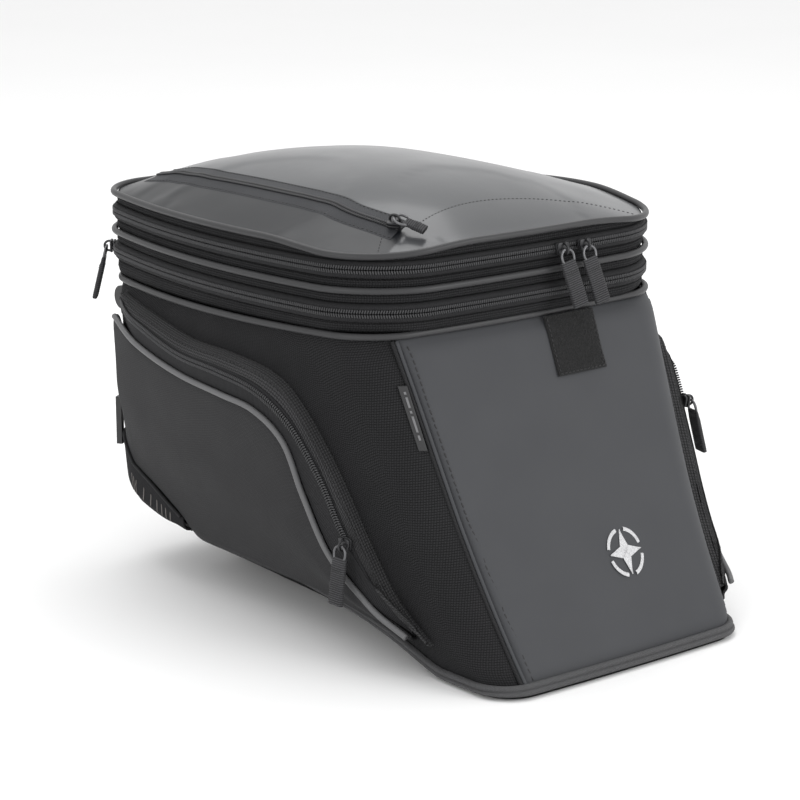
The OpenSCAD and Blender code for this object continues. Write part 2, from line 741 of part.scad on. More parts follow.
pocket_slider(-1);  // pocket_slider_left
pocket_slider(1);  // pocket_slider_right
pocket_puller(-1);  // pocket_puller_left
pocket_puller(1);  // pocket_puller_right
map_slider();
map_puller();
carry_handle();
strap_ring(-1);  // strap_ring_left
strap_ring(1);  // strap_ring_right
hook_flap();
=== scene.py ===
"""Looks of the tail bag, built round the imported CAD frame. Lengths are in millimetres until a mesh is made."""

import math

import bpy
import numpy as np
from mathutils import Matrix, Vector
from mathutils.bvhtree import BVHTree


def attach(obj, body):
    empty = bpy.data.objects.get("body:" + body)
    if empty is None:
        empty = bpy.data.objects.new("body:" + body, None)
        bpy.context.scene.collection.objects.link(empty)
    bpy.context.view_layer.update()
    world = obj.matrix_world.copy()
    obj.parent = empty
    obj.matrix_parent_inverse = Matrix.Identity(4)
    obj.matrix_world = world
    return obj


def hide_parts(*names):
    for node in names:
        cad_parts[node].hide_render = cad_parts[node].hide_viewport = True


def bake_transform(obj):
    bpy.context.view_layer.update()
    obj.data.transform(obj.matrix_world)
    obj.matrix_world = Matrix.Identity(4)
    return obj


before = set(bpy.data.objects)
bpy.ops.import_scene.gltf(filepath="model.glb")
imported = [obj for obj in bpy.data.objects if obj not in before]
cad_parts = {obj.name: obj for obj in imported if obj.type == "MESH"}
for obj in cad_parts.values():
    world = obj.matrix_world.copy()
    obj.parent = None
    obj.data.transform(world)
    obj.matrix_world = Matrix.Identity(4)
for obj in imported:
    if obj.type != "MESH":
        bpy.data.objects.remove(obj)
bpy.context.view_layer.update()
MM = 0.001
rng = np.random.default_rng(7)
collection = bpy.context.scene.collection

# ---------------------------------------------------------------- surfaces, the same as in part.scad

LAST = 9.0
TOP_Z, TOP_FALL, SKIRT_Z, SKIRT_RISE = 190.0, 4.0, 4.0, 33.0
BASE_HALF, TOP_HALF, BASE_FRONT, TOP_FRONT, REAR = 94.0, 110.0, -194.0, -99.0, 170.0
LID_HALF, LID_FRONT, LID_REAR, LID_BOW = 112.0, -103.0, 174.0, 19.0
RIM_Z, RIM_DROOP, REAR_DROOP, CROWN, CROWN_POWER, CROWN_SAG = 240.0, 4.4, 4.4, 28.0, 2.6, 6.0
MAIN_Z, COLLAR_Z, EXPANSION_Z, PIPING_R = 228.0, 216.0, 203.0, 2.0
POCKET_DEPTH, RIGHT_STRETCH, GUARD_DEPTH = 11.0, 1.33, 7.0
RIM_CENTRE_Y = (LID_FRONT + LID_REAR) / 2
# Height of a slider's lug, where its puller hangs
LUG = 5.4
SIDES = ((-1, "left"), (1, "right"))


def arr(*values):
    return np.broadcast_arrays(*[np.asarray(v, float) for v in values])


def clamp01(v):
    return np.clip(v, 0.0, 1.0)


def ease(v):
    c = clamp01(v)
    return c * c * (3 - 2 * c)


def lerp(a, b, f):
    return a + (b - a) * f


def unit(v):
    v = np.asarray(v, float)
    return v / np.linalg.norm(v, axis=-1, keepdims=True)


def distance(P, axis=0):
    """Distance along a line or a grid of points, from its start."""
    steps = np.linalg.norm(np.diff(P, axis=axis), axis=-1)
    return np.cumsum(np.insert(steps, 0, 0.0, axis=axis), axis)


def oblong(t, w, yf, yr, rf, rb, bow_x, bow_f, bow_r):
    t, w, yf, yr, rf, rb = arr(t, w, yf, yr, rf, rb)
    tt = np.mod(t, LAST)
    k = np.floor(tt).astype(int)
    f = tt - k
    a = f * math.pi / 2
    ca, sa = np.cos(a), np.sin(a)
    xs = [-f * (w - rb), -(w - rb) - rb * sa, -w, -(w - rf) - rf * ca, (2 * f - 1) * (w - rf),
          w - rf + rf * sa, w, w - rb + rb * ca, (1 - f) * (w - rb)]
    ys = [yr, yr - rb + rb * ca, lerp(yr - rb, yf + rf, f), yf + rf - rf * sa, yf,
          yf + rf - rf * ca, lerp(yf + rf, yr - rb, f), yr - rb + rb * sa, yr]
    x = np.choose(k, xs)
    y = np.choose(k, ys)
    u, v = x / w, (2 * y - yf - yr) / (yr - yf)
    return x + u * bow_x * (1 - v * v), y + v * np.where(v < 0, bow_f, bow_r) * (1 - u * u)


def rise(y):
    q = np.maximum(0, y + 146)
    return 1 - np.exp(-q * q / (q + 14) / 75)


def top_edge(y):
    return TOP_Z - TOP_FALL * (y - TOP_FRONT) / (REAR - TOP_FRONT)


def skin_at(t, s):
    """Point of the bag's skin at station t round it and height s, 0 at the foot and 1 at the top edge."""
    t, s = arr(t, s)
    o = 1 - s
    kick = BASE_FRONT - TOP_FRONT + 18
    x, y = oblong(t, lerp(BASE_HALF, TOP_HALF, s), TOP_FRONT + kick * o - 18 * o**3, REAR - 2 * o * o,
                  20 + 6 * s, 30, 5 + 16 * s, 2 + 4 * s, 1)
    x = x * (1 + 0.11 * o * clamp01((y + 100) / 270))
    low = SKIRT_Z + SKIRT_RISE * rise(y) + 14 * np.maximum(0, (y - 110) / 60) ** 1.5
    return np.stack([x, y, low + s * (top_edge(y) - low)], -1)


def skin_normal(t, s):
    onward = skin_at(t + 0.01, s) - skin_at(t - 0.01, s)
    return unit(np.cross(onward, skin_at(t, s + 0.01) - skin_at(t, s - 0.01)))


def skin(t, s, d=0.0):
    t, s, d = arr(t, s, d)
    return skin_at(t, s) + d[..., None] * skin_normal(t, s)


def seam(s):
    return lerp(3.93, 3.76, s)


def right_seam(s):
    return LAST - seam(s) + 0.5


def foot(t, inset):
    p = skin_at(t, 0)
    k = 0.97 - 0.46 * rise(p[..., 1])
    q = np.stack([p[..., 0] * k, p[..., 1] - 50 * np.maximum(0, (p[..., 1] - 60) / 110)], -1)
    return q + inset * unit(np.array([0, -30.0]) - q)


def rim(t, d):
    return oblong(t, LID_HALF + d, LID_FRONT - d, LID_REAR + d, 40 + d, 31 + d, LID_BOW, 6, 1)


def rim_height(x, y):
    return (RIM_Z - RIM_DROOP * ease((-y - 20) / 65) * ease((np.abs(x) - 40) / 70)
            - REAR_DROOP * ease((y + 20) / 110) * ease((x - 20) / 60))


def rim_at(t, d, z):
    t, d, z = arr(t, d, z)
    x, y = rim(t, d)
    return np.stack([x, y, z], -1)


def rim_top(t, d, dz):
    t, d, dz = arr(t, d, dz)
    x, y = rim(t, d)
    return np.stack([x, y, rim_height(x, y) + dz], -1)


def lid_surface(t, q, lift=0.0):
    t, q, lift = arr(t, q, lift)
    edge = rim_top(t, -2, -0.5)
    x, y = lerp(edge[..., 0], 0, q), lerp(edge[..., 1], RIM_CENTRE_Y, q)
    z = lerp(edge[..., 2], RIM_Z, ease(2 * q)) + CROWN * (1 - (1 - q) ** CROWN_POWER)
    z = z - CROWN_SAG * ease((x + 30) / 110) * ease(3 * q)
    return np.stack([x, y, z + lift], -1)


def curve(points, f):
    pts = np.asarray(points, float)
    n = len(pts) - 1
    g = clamp01(np.asarray(f, float)) * n
    i = np.minimum(np.floor(g).astype(int), n - 1)
    u = (g - i)[..., None]
    a, b, c, d = pts[np.maximum(i - 1, 0)], pts[i], pts[i + 1], pts[np.minimum(i + 2, n)]
    return b + 0.5 * u * (c - a + u * (2 * a - 5 * b + 4 * c - d + u * (3 * (b - c) + d - a)))


CORD = [[2.02, 0.86], [2.19, 0.79], [2.37, 0.74], [2.54, 0.715], [2.66, 0.69], [2.73, 0.6],
        [2.727, 0.42], [2.735, 0.23], [2.81, 0.126], [2.89, 0.095]]
CHAIN = [[2.02, 0.93], [2.19, 0.885], [2.38, 0.82], [2.555, 0.8], [2.69, 0.765], [2.775, 0.67],
         [2.812, 0.5], [2.815, 0.35], [2.838, 0.23], [2.9, 0.13]]
OUTER = [[2.02, 0.95], [2.22, 0.915], [2.41, 0.87], [2.59, 0.86], [2.735, 0.825], [2.8, 0.74],
         [2.84, 0.54], [2.852, 0.28], [2.87, 0.16], [2.93, 0.09]]
PANEL_TOP = [[1.74, 0.72], [1.87, 0.84]] + CORD
PANEL_FOOT = [[1.74, 0.285], [1.86, 0.25], [1.98, 0.205], [2.08, 0.165], [2.14, 0.11], [2.21, 0.045],
              [2.32, 0.04], [2.44, 0.04], [2.55, 0.04], [2.66, 0.045], [2.77, 0.05], [2.87, 0.065]]
GUARD_TOP = [[1.15, 0.25], [1.4, 0.26], [1.7, 0.265], [1.86, 0.235], [1.98, 0.19], [2.07, 0.15],
             [2.12, 0.105], [2.17, 0.055]]
MAP_ARC = [[3.83, 0.11], [3.5, 0.205], [3.0, 0.28], [2.73, 0.295], [2.435, 0.29], [2.1, 0.25], [1.55, 0.158]]


def between(a, b, f, across, side):
    """Station and height between two pocket outlines, on one side of the bag."""
    f, across = arr(f, across)
    p = lerp(curve(a, f), curve(b, f), across[..., None])
    t, s = p[..., 0], p[..., 1]
    return (t, s) if side < 0 else (LAST - 2 - (t - 2) * np.where(t > 2, RIGHT_STRETCH, 1), s)


def pocket(a, b, f, across, side, d):
    t, s = between(a, b, f, across, side)
    return skin(t, s, d)


def frame_at(p, out, hang):
    """4x4 with its origin at p, Z along out and -Y along the part of hang that is square to out."""
    n = unit(out)
    h = np.asarray(hang, float)
    h = unit(h - (h @ n) * n)
    m = np.eye(4)
    m[:3, 0], m[:3, 1], m[:3, 2], m[:3, 3] = np.cross(n, h), -h, n, p
    return m


# ---------------------------------------------------------------- materials

class Shader:
    """A Principled material with short calls for its nodes."""

    def __init__(self, name, colour, rough, **fixed):
        self.mat = bpy.data.materials.new(name)
        self.mat.use_nodes = True
        self.tree = self.mat.node_tree
        self.bsdf = self.tree.nodes["Principled BSDF"]
        self.bsdf.inputs["Base Color"].default_value = (*colour, 1)
        self.bsdf.inputs["Roughness"].default_value = rough
        for key, value in fixed.items():
            self.bsdf.inputs[key.replace("_", " ")].default_value = value
        self.colour = colour
        self.height = None

    def node(self, kind, **links):
        n = self.tree.nodes.new("ShaderNode" + kind)
        for key, value in links.items():
            self.put(n.inputs[key.replace("_", " ")], value)
        return n

    def put(self, socket, value):
        if isinstance(value, bpy.types.NodeSocket):
            self.tree.links.new(value, socket)
        else:
            socket.default_value = value

    def math(self, op, a, b=0.0):
        n = self.tree.nodes.new("ShaderNodeMath")
        n.operation = op
        self.put(n.inputs[0], a)
        self.put(n.inputs[1], b)
        return n.outputs[0]

    def where(self, name="UV", scale=(1, 1, 1)):
        coords = self.tree.nodes.new("ShaderNodeTexCoord").outputs[name]
        m = self.node("Mapping", Vector=coords)
        m.inputs["Scale"].default_value = scale
        return m.outputs[0]

    def noise(self, scale, detail=2.0):
        n = self.node("TexNoise", Vector=self.where("Object"), Scale=scale, Detail=detail, Roughness=0.5)
        return n.outputs["Fac"]

    def mix(self, fac, a, b):
        n = self.tree.nodes.new("ShaderNodeMix")
        n.data_type = "RGBA"
        self.put(n.inputs["Factor"], fac)
        self.put(n.inputs["A"], (*a, 1) if isinstance(a, tuple) else a)
        self.put(n.inputs["B"], (*b, 1) if isinstance(b, tuple) else b)
        return n.outputs["Result"]

    def tint(self, amount):
        return tuple(c * amount for c in self.colour)

    def paint(self, colour):
        self.put(self.bsdf.inputs["Base Color"], colour)

    def rough(self, fac, low, high):
        n = self.node("MapRange", Value=fac)
        n.inputs["To Min"].default_value = low
        n.inputs["To Max"].default_value = high
        self.put(self.bsdf.inputs["Roughness"], n.outputs[0])

    def bump(self, height, distance, strength=1.0):
        """Adds a bump of that height in millimetres on top of the ones before."""
        n = self.node("Bump", Height=height, Strength=strength)
        n.inputs["Distance"].default_value = distance * MM
        if self.height is not None:
            self.tree.links.new(self.height, n.inputs["Normal"])
        self.height = n.outputs[0]
        self.put(self.bsdf.inputs["Normal"], self.height)


def woven(name, colour, pitch, depth, rough=0.85, contrast=0.55, blotch=0.18, sheen=0.0):
    """Plain weave, painted dark in the gaps between threads as shade and light on their crowns as highlight,
    with painted sheen on one set of threads: pitch is one thread's width in millimetres.
    """
    m = Shader(name, colour, rough, Sheen_Weight=sheen, Sheen_Roughness=0.5, Specular_IOR_Level=0.14)
    uv = m.node("SeparateXYZ", Vector=m.where("UV", (1 / (pitch * MM), 1 / (pitch * MM), 1)))
    u, v = uv.outputs[0], uv.outputs[1]
    warp_line = m.math("SINE", m.math("MULTIPLY", m.math("FRACT", u), math.pi))
    weft_line = m.math("SINE", m.math("MULTIPLY", m.math("FRACT", v), math.pi))
    parity = m.math("MODULO", m.math("ABSOLUTE", m.math("ADD", m.math("FLOOR", u), m.math("FLOOR", v))), 2.0)
    warp = m.math("MULTIPLY", warp_line, m.math("ADD", m.math("MULTIPLY", weft_line, 0.5), 0.5))
    weft = m.math("MULTIPLY", weft_line, m.math("ADD", m.math("MULTIPLY", warp_line, 0.5), 0.5))
    height = m.math("ADD", m.math("MULTIPLY", warp, parity),
                    m.math("MULTIPLY", weft, m.math("SUBTRACT", 1.0, parity)))
    # Painted shade and highlight: the colour runs from dark in the gaps between threads to light on their
    # crowns, by thread height.
    threads_gap_shaded = m.mix(height, m.tint(1 - contrast), m.tint(1 + 1.5 * contrast))
    # Painted sheen: the threads that lie on top in every other cell are mixed halfway to twice the colour.
    side = m.mix(m.math("MULTIPLY", parity, 0.5), threads_gap_shaded, m.tint(2.0))
    patches = m.noise(38.0, 4.0)
    m.paint(m.mix(m.math("MULTIPLY", patches, 2 * blotch), side, m.tint(0.55)))
    m.rough(patches, rough - 0.06, rough + 0.06)
    m.bump(m.noise(180.0, 2.0), 0.12, 0.6)
    m.bump(height, depth)
    return m.mat


def grained(name, colour, rough, grain=900.0, depth=0.03, blotch=0.1, spread=0.08, **fixed):
    """Smooth coated fabric, moulded plastic or rubber with a fine grain."""
    m = Shader(name, colour, rough, **fixed)
    patches = m.noise(30.0, 5.0)
    m.paint(m.mix(m.math("MULTIPLY", patches, 2 * blotch), m.tint(1 + blotch), m.tint(1 - 2.2 * blotch)))
    m.rough(patches, rough - spread, rough + spread)
    m.bump(m.noise(grain, 3.0), depth)
    return m.mat


def ribbed(name, colour, pitch, depth, rough=0.7, cross=0.0):
    """Ribs across the piece's length, along its first UV axis, painted dark in the troughs as shade and light on
    the crests as highlight.
    """
    m = Shader(name, colour, rough, Sheen_Weight=0.02, Specular_IOR_Level=0.2)
    uv = m.node("SeparateXYZ", Vector=m.where("UV", (1 / (pitch * MM), 1 / (pitch * MM), 1)))
    slant = m.math("ADD", uv.outputs[0], m.math("MULTIPLY", uv.outputs[1], cross))
    wave = m.math("SINE", m.math("MULTIPLY", m.math("FRACT", slant), math.pi))
    fine = m.noise(1500.0, 2.0)
    # Painted shade and highlight: dark in the troughs between ribs, light on their crests; the fine noise varies
    # the tone at random.
    m.paint(m.mix(wave, m.tint(0.35), m.mix(fine, m.tint(0.6), m.tint(2.6))))
    m.bump(fine, 0.05)
    m.bump(wave, depth)
    return m.mat


BODY = woven("body_textile", (0.0128, 0.0128, 0.0135), 1.55, 0.4, contrast=0.95)
GUSSET = woven("gusset_textile", (0.029, 0.029, 0.03), 1.8, 0.5, contrast=0.95, sheen=0.03)
GUARD = woven("guard_textile", (0.013, 0.013, 0.014), 0.8, 0.08)
POCKET = woven("pocket_softshell", (0.024, 0.024, 0.025), 1.0, 0.16, rough=0.8, contrast=0.7, blotch=0.12,
               sheen=0.03)
COATED = grained("coated_grey", (0.048, 0.0495, 0.0535), 0.6, 1300.0, 0.025, 0.06, Specular_IOR_Level=0.22)
LINING = woven("lining", (0.05, 0.05, 0.052), 0.5, 0.05, rough=0.7)
SEAM = ribbed("binding_black", (0.016, 0.016, 0.017), 0.8, 0.12, 0.75)
BINDING = ribbed("binding_grey", (0.06, 0.06, 0.062), 0.9, 0.15, 0.6, 0.4)
PIPING = grained("piping_black", (0.036, 0.036, 0.0375), 0.42, 700.0, 0.03, 0.15, Specular_IOR_Level=0.28)
REFLECTIVE = grained("piping_reflective", (0.1, 0.1, 0.103), 0.5, 1600.0, 0.03, 0.12)
TAPE = ribbed("zip_tape", (0.014, 0.014, 0.015), 1.1, 0.12, 0.8)
COIL = grained("coil", (0.03, 0.03, 0.032), 0.38, 900.0, 0.01)
METAL = grained("slider_metal", (0.035, 0.035, 0.037), 0.35, 500.0, 0.015, 0.2, Metallic=0.6)
WIRE = grained("wire_metal", (0.12, 0.12, 0.125), 0.3, 500.0, 0.01, 0.2, Metallic=0.85)
WEBBING = ribbed("puller_webbing", (0.036, 0.036, 0.038), 1.25, 0.25, 0.8)
MOULDED = grained("moulded_black", (0.02, 0.02, 0.021), 0.5, 1100.0, 0.05, 0.12)
RUBBER = grained("label_rubber", (0.02, 0.02, 0.021), 0.55, 900.0, 0.03)
THREAD_LIGHT = ribbed("emblem_thread", (0.5, 0.5, 0.51), 0.55, 0.12, 0.5)
THREAD_DARK = grained("stitch_thread", (0.014, 0.014, 0.015), 0.6, 900.0, 0.02)
BAR = grained("label_bars", (0.14, 0.14, 0.145), 0.6, 900.0, 0.02)
HATCH = grained("hatch_thread", (0.11, 0.10, 0.095), 0.6, 900.0, 0.02)
MAP_TAPE = woven("map_tape", (0.03, 0.031, 0.034), 0.7, 0.05, rough=0.5, contrast=0.3)


def fuzzy():
    m = Shader("hook_and_loop", (0.008, 0.008, 0.0083), 0.95, Sheen_Weight=0.03, Sheen_Roughness=0.6)
    coarse, fine = m.noise(900.0, 4.0), m.noise(2600.0, 3.0)
    m.paint(m.mix(m.math("MULTIPLY", coarse, fine), m.tint(0.35), m.tint(3.2)))
    m.bump(coarse, 0.5)
    m.bump(fine, 0.3)
    return m.mat


HOOK = fuzzy()


def window_film():
    """Glossy clear film over dark fabric: the tint comes from the mesh's own zones, and the side zone's tint is
    its black fabric made darker still as painted shade of the lid's left side.
    """
    m = Shader("window_film", (0.1, 0.1, 0.1), 0.4, Coat_Weight=0.45, Coat_Roughness=0.16,
               Specular_IOR_Level=0.25)
    zone = m.tree.nodes.new("ShaderNodeAttribute")
    zone.attribute_name = "zone"
    patches = m.noise(14.0, 3.0)
    m.paint(m.mix(m.math("MULTIPLY", patches, 0.22), zone.outputs["Color"], (0.02, 0.022, 0.025)))
    gloss = m.node("MapRange", Value=m.node("SeparateColor", Color=zone.outputs["Color"]).outputs[0])
    for key, value in (("From Min", 0.006), ("From Max", 0.03), ("To Min", 0.06), ("To Max", 0.45)):
        gloss.inputs[key].default_value = value
    m.put(m.bsdf.inputs["Coat Weight"], gloss.outputs[0])
    m.rough(m.noise(22.0, 3.0), 0.24, 0.42)
    m.bump(m.noise(9.0, 2.0), 1.2)
    m.bump(m.noise(1400.0, 2.0), 0.006)
    return m.mat


FILM = window_film()

# ---------------------------------------------------------------- mesh makers

def make(name, verts, faces, mat, body, uv=None, slot=None, replaces=()):
    me = bpy.data.meshes.new(name)
    points = (np.asarray(verts, float).reshape(-1, 3) * MM).tolist()
    me.from_pydata(points, [], [list(map(int, f)) for f in faces])
    if uv is not None:
        layer = me.uv_layers.new(name="UVMap")
        layer.data.foreach_set("uv", (np.asarray(uv, float) * MM).ravel())
    me.polygons.foreach_set("use_smooth", [True] * len(me.polygons))
    me.materials.append(mat)
    ob = bpy.data.objects.new(name, me)
    collection.objects.link(ob)
    if body:
        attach(ob, body)
    if replaces:
        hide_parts(*replaces)
    return ob


def grid_faces(n, m, closed):
    i = np.arange(n if closed else n - 1)
    j = np.arange(m - 1)
    a, b = np.meshgrid(i, j, indexing="ij")
    c = (a + 1) % n
    return np.stack([a * m + b, c * m + b, c * m + b + 1, a * m + b + 1], -1).reshape(-1, 4)


def grid_uv(P, closed):
    """Arc length along and across the grid, one pair for each face corner."""
    Q = np.concatenate([P, P[:1]]) if closed else P
    U, V = distance(Q, 0), distance(Q, 1)
    U = U - U[len(U) // 2]
    UV = np.stack([U, V], -1)
    a, b = UV[:-1, :-1], UV[1:, :-1]
    c, d = UV[1:, 1:], UV[:-1, 1:]
    return np.stack([a, b, c, d], 2).reshape(-1, 2)


def sheet(name, P, mat, body, closed=False, thick=0.0, flip=False, held=None, rests_on=(), fill=None, **kw):
    """Grid of points as a surface; thick adds a wall inside. held and fill are not used."""
    P = np.asarray(P, float)
    faces = grid_faces(P.shape[0], P.shape[1], closed)
    uv = grid_uv(P, closed).reshape(-1, 4, 2)
    if flip:
        faces, uv = faces[:, ::-1], uv[:, ::-1]
    ob = make(name, P, faces, mat, body, uv.reshape(-1, 2), **kw)
    if thick:
        m = ob.modifiers.new("wall", "SOLIDIFY")
        m.thickness, m.offset = thick * MM, -1
    return ob


def tube_points(path, r, up, closed, sides):
    """Rings of a round tube; up is a direction that the path never follows."""
    path = np.asarray(path, float)
    if closed:
        tangent = unit(np.roll(path, -1, 0) - np.roll(path, 1, 0))
    else:
        tangent = unit(np.gradient(path, axis=0))
    up = np.broadcast_to(np.asarray(up, float), path.shape)
    e = unit(np.cross(tangent, up))
    f = np.cross(e, tangent)
    a = np.linspace(0, 2 * math.pi, sides, endpoint=False)
    r = np.broadcast_to(np.asarray(r, float), path.shape[:1])[:, None, None]
    return path[:, None] + r * (np.cos(a)[None, :, None] * f[:, None] + np.sin(a)[None, :, None] * e[:, None])


def ringed(name, R, length, girth, closed, mat, body, **kw):
    """Surface through rings of points, capped flat if it isn't closed. length and girth are its UV."""
    n, sides = R.shape[:2]
    a, b = np.meshgrid(np.arange(n if closed else n - 1), np.arange(sides), indexing="ij")
    c, d = (a + 1) % n, (b + 1) % sides
    faces = np.stack([a * sides + b, a * sides + d, c * sides + d, c * sides + b], -1).reshape(-1, 4).tolist()
    uv = np.stack([np.stack([length[a + i], girth[a + i, b + j]], -1)
                   for i, j in ((0, 0), (0, 1), (1, 1), (1, 0))], 2).reshape(-1, 2)
    if not closed:
        faces += [list(range(sides))[::-1], [(n - 1) * sides + q for q in range(sides)]]
        uv = np.concatenate([uv, np.zeros((2 * sides, 2))])
    return make(name, R, faces, mat, body, uv, **kw)


def tube(name, path, r, up, mat, body, closed=False, sides=12, **kw):
    length = distance(np.concatenate([path, path[:1]]) if closed else path)
    girth = np.tile(np.arange(sides + 1) * (2 * math.pi * np.max(r) / sides), (len(length), 1))
    return ringed(name, tube_points(path, r, up, closed, sides), length, girth, closed, mat, body, **kw)


def copies(name, verts, faces, origins, xs, ys, zs, mat, body, **kw):
    """One mesh of many copies of a small template, each with its own axes."""
    verts, faces = np.asarray(verts, float), np.asarray(faces)
    P = (origins[:, None] + verts[None, :, 0:1] * xs[:, None] + verts[None, :, 1:2] * ys[:, None]
         + verts[None, :, 2:3] * zs[:, None])
    F = faces[None] + (np.arange(len(origins)) * len(verts))[:, None, None]
    return make(name, P, F.reshape(-1, faces.shape[1]), mat, body, **kw)


def pill(length, width, height):
    """Small rounded box, long along X, standing on Z = 0."""
    out = []
    for x, k in ((-0.5, 0.35), (-0.36, 0.9), (0.36, 0.9), (0.5, 0.35)):
        for y, z in ((-0.5, 0.0), (-0.42, 0.75), (0.0, 1.0), (0.42, 0.75), (0.5, 0.0)):
            out.append((x * length, y * width * k, z * height * k))
    faces = []
    for i in range(3):
        for j in range(4):
            faces.append((i * 5 + j, (i + 1) * 5 + j, (i + 1) * 5 + j + 1, i * 5 + j + 1))
        faces.append((i * 5 + 4, (i + 1) * 5 + 4, (i + 1) * 5, i * 5))
    faces += [(0, 1, 2, 4), (15, 19, 17, 16)]
    return out, faces


def along(path, normals, step):
    """Evenly spaced points, tangents and normals along a path."""
    path, normals = np.asarray(path, float), np.asarray(normals, float)
    both = np.concatenate([path, normals], 1)
    length = distance(path)
    at = np.arange(step / 2, length[-1], step)
    both = np.stack([np.interp(at, length, both[:, k]) for k in range(6)], -1)
    p, n = both[:, :3], unit(both[:, 3:])
    tangent = unit(np.gradient(p, axis=0))
    side = unit(np.cross(n, tangent))
    return p, tangent, side, np.cross(tangent, side)


def stitches(name, path, normals, body, pitch, size, slot):
    """Row of slightly tilted stitches; size is one stitch's length, width and height."""
    p, x, y, z = along(path, normals, pitch)
    tilt = 0.12
    x2 = unit(x + tilt * y)
    y2 = np.cross(z, x2)
    return copies(name, *pill(*size), p, x2, y2, z, THREAD_DARK, body, slot=slot)


def coil(name, path, normals, body, side, pitch=1.5, width=2.5):
    """One row of slanted coil teeth beside a zip's parting line; side says which."""
    p, x, y, z = along(path, normals, pitch)
    long_axis = unit(side * y + 0.32 * x)
    cross = np.cross(z, long_axis)
    return copies(name, *pill(width, 1.15, 0.95), p + long_axis * (width / 2 + 0.12), long_axis, cross, z, COIL,
                  body, slot="zip_tape")


def settle(ob, pin, pressure, cap, frames=20, tension=12.0, shrink=-0.01):
    """Cloth under slight pressure, held where pin is 1 and kept within cap of its start, as a plain mesh."""
    me = ob.data
    start = np.array([v.co for v in me.vertices], float).reshape(-1, 3)
    group = ob.vertex_groups.new(name="held")
    for i, w in enumerate(np.asarray(pin, float).ravel()):
        group.add([i], float(w), "REPLACE")
    cloth = ob.modifiers.new("cloth", "CLOTH")
    st = cloth.settings
    st.vertex_group_mass = "held"
    st.use_pressure = True
    st.uniform_pressure_force = pressure
    st.effector_weights.gravity = 0
    st.tension_stiffness = st.compression_stiffness = tension
    st.bending_stiffness = 2.0
    st.shrink_min = shrink
    st.quality = 6
    cloth.collision_settings.use_collision = False
    sc = bpy.context.scene
    cloth.point_cache.frame_start, cloth.point_cache.frame_end = 1, frames
    for f in range(1, frames + 1):
        sc.frame_set(f)
    dg = bpy.context.evaluated_depsgraph_get()
    e = ob.evaluated_get(dg)
    out = np.array([v.co for v in e.data.vertices], float).reshape(-1, 3)
    ob.modifiers.remove(cloth)
    sc.frame_set(1)
    move = out[: len(start)] - start
    size = np.linalg.norm(move, axis=1, keepdims=True)
    move = move * np.minimum(1, cap * MM / np.maximum(size, 1e-9))
    me.vertices.foreach_set("co", (start + move).astype(np.float32).ravel())
    me.update()


def ripple(u, v, wave, seed, count=7):
    """Smooth seeded waviness between about -1 and 1 over two lengths in millimetres."""
    r = np.random.default_rng(seed)
    total = 0.0
    for _ in range(count):
        a = r.uniform(0, math.pi)
        k = r.uniform(0.6, 1.7) * 2 * math.pi / wave
        p = r.uniform(0, 2 * math.pi)
        total = total + np.sin(k * (np.cos(a) * u + np.sin(a) * v) + p)
    return total / count * 1.6


def dip(x, width):
    """0 on a seam, rising to 1 away from it."""
    return 1 - np.exp(-((np.maximum(x, 0) / width) ** 2))


def stretched(t, s, mm):
    """Station mm further round the bag from t, at height s."""
    t = np.asarray(t, float)
    for _ in range(6):
        speed = np.linalg.norm(skin_at(t + 0.005, s) - skin_at(t - 0.005, s), axis=-1) / 0.01
        t = t + mm / 6 / speed
    return t


# ---------------------------------------------------------------- body

RING = np.linspace(0, LAST, 420, endpoint=False)
POCKET_STOP = {-1: 0.81, 1: 0.6}


def side_shell():
    f, s = np.meshgrid(np.linspace(-1, 1, 300), np.linspace(0, 1, 64), indexing="ij")
    edge = (1 - np.abs(f)) * 130
    d = -1.2 + 2.4 * dip((1 - s) * 185, 9) * dip(edge, 5) * dip(s * 185, 7) + 0.9 * np.sin(math.pi * s)
    d = d + 0.45 * ripple(f * 420, s * 185, 70, 3) * dip(edge, 25) * dip((1 - s) * 185, 20)
    t = f * np.where(f < 0, LAST - right_seam(s), seam(s))
    return sheet("side_shell_cloth", skin(t, s, d), BODY, "body", thick=2.4, slot="body_textile",
                 replaces=("side_shell",), held="stretched", rests_on=["base_hull_cloth", "body_piping_cord"])


def front_relief(left, right, s):
    """Height of the front panel over the skin; left and right are millimetres from its seams."""
    top = (1 - s) * 200
    d = -1.6 + 2.8 * dip(left, 3.2) * dip(right, 3.2) * dip(top, 7) * dip(s * 200, 6)
    d = d + 1.2 * np.sin(math.pi * s) * dip(left, 60) * dip(right, 60)
    d = d + 1.3 * np.exp(-(((left - 20) / 24) ** 2) - ((top - 16) / 14) ** 2)
    d = d + lerp(2.4, 3.8, s) * np.exp(-(((right - 34) / 26) ** 2)) * dip(top, 9) * dip(s * 200, 12)
    return d + 0.3 * ripple(left, s * 200, 90, 11)


def front_panel():
    fine_at_seams = np.concatenate([np.linspace(0, 0.1, 26)[:-1], np.linspace(0.1, 0.9, 76),
                                    np.linspace(0.9, 1, 26)[1:]])
    f, s = np.meshgrid(fine_at_seams, np.linspace(0, 1, 120), indexing="ij")
    t = lerp(seam(s) + 0.01, right_seam(s) - 0.01, f)
    P = skin_at(t, s)
    run = distance(P)
    d = front_relief(run, run[-1] - run, s)
    return sheet("front_panel_cloth", skin(t, s, d), COATED, "body", thick=2.0, slot="coated_grey",
                 replaces=("front_panel",), held="stretched", rests_on=["base_hull_cloth", "body_piping_cord"])


def seam_station(s, offset_mm, side):
    return stretched(seam(s), s, offset_mm) if side < 0 else stretched(right_seam(s), s, -offset_mm)


def seam_path(offset_mm, side, d):
    s = np.linspace(0.012, 0.985, 90)
    return skin(seam_station(s, offset_mm, side), s, d)


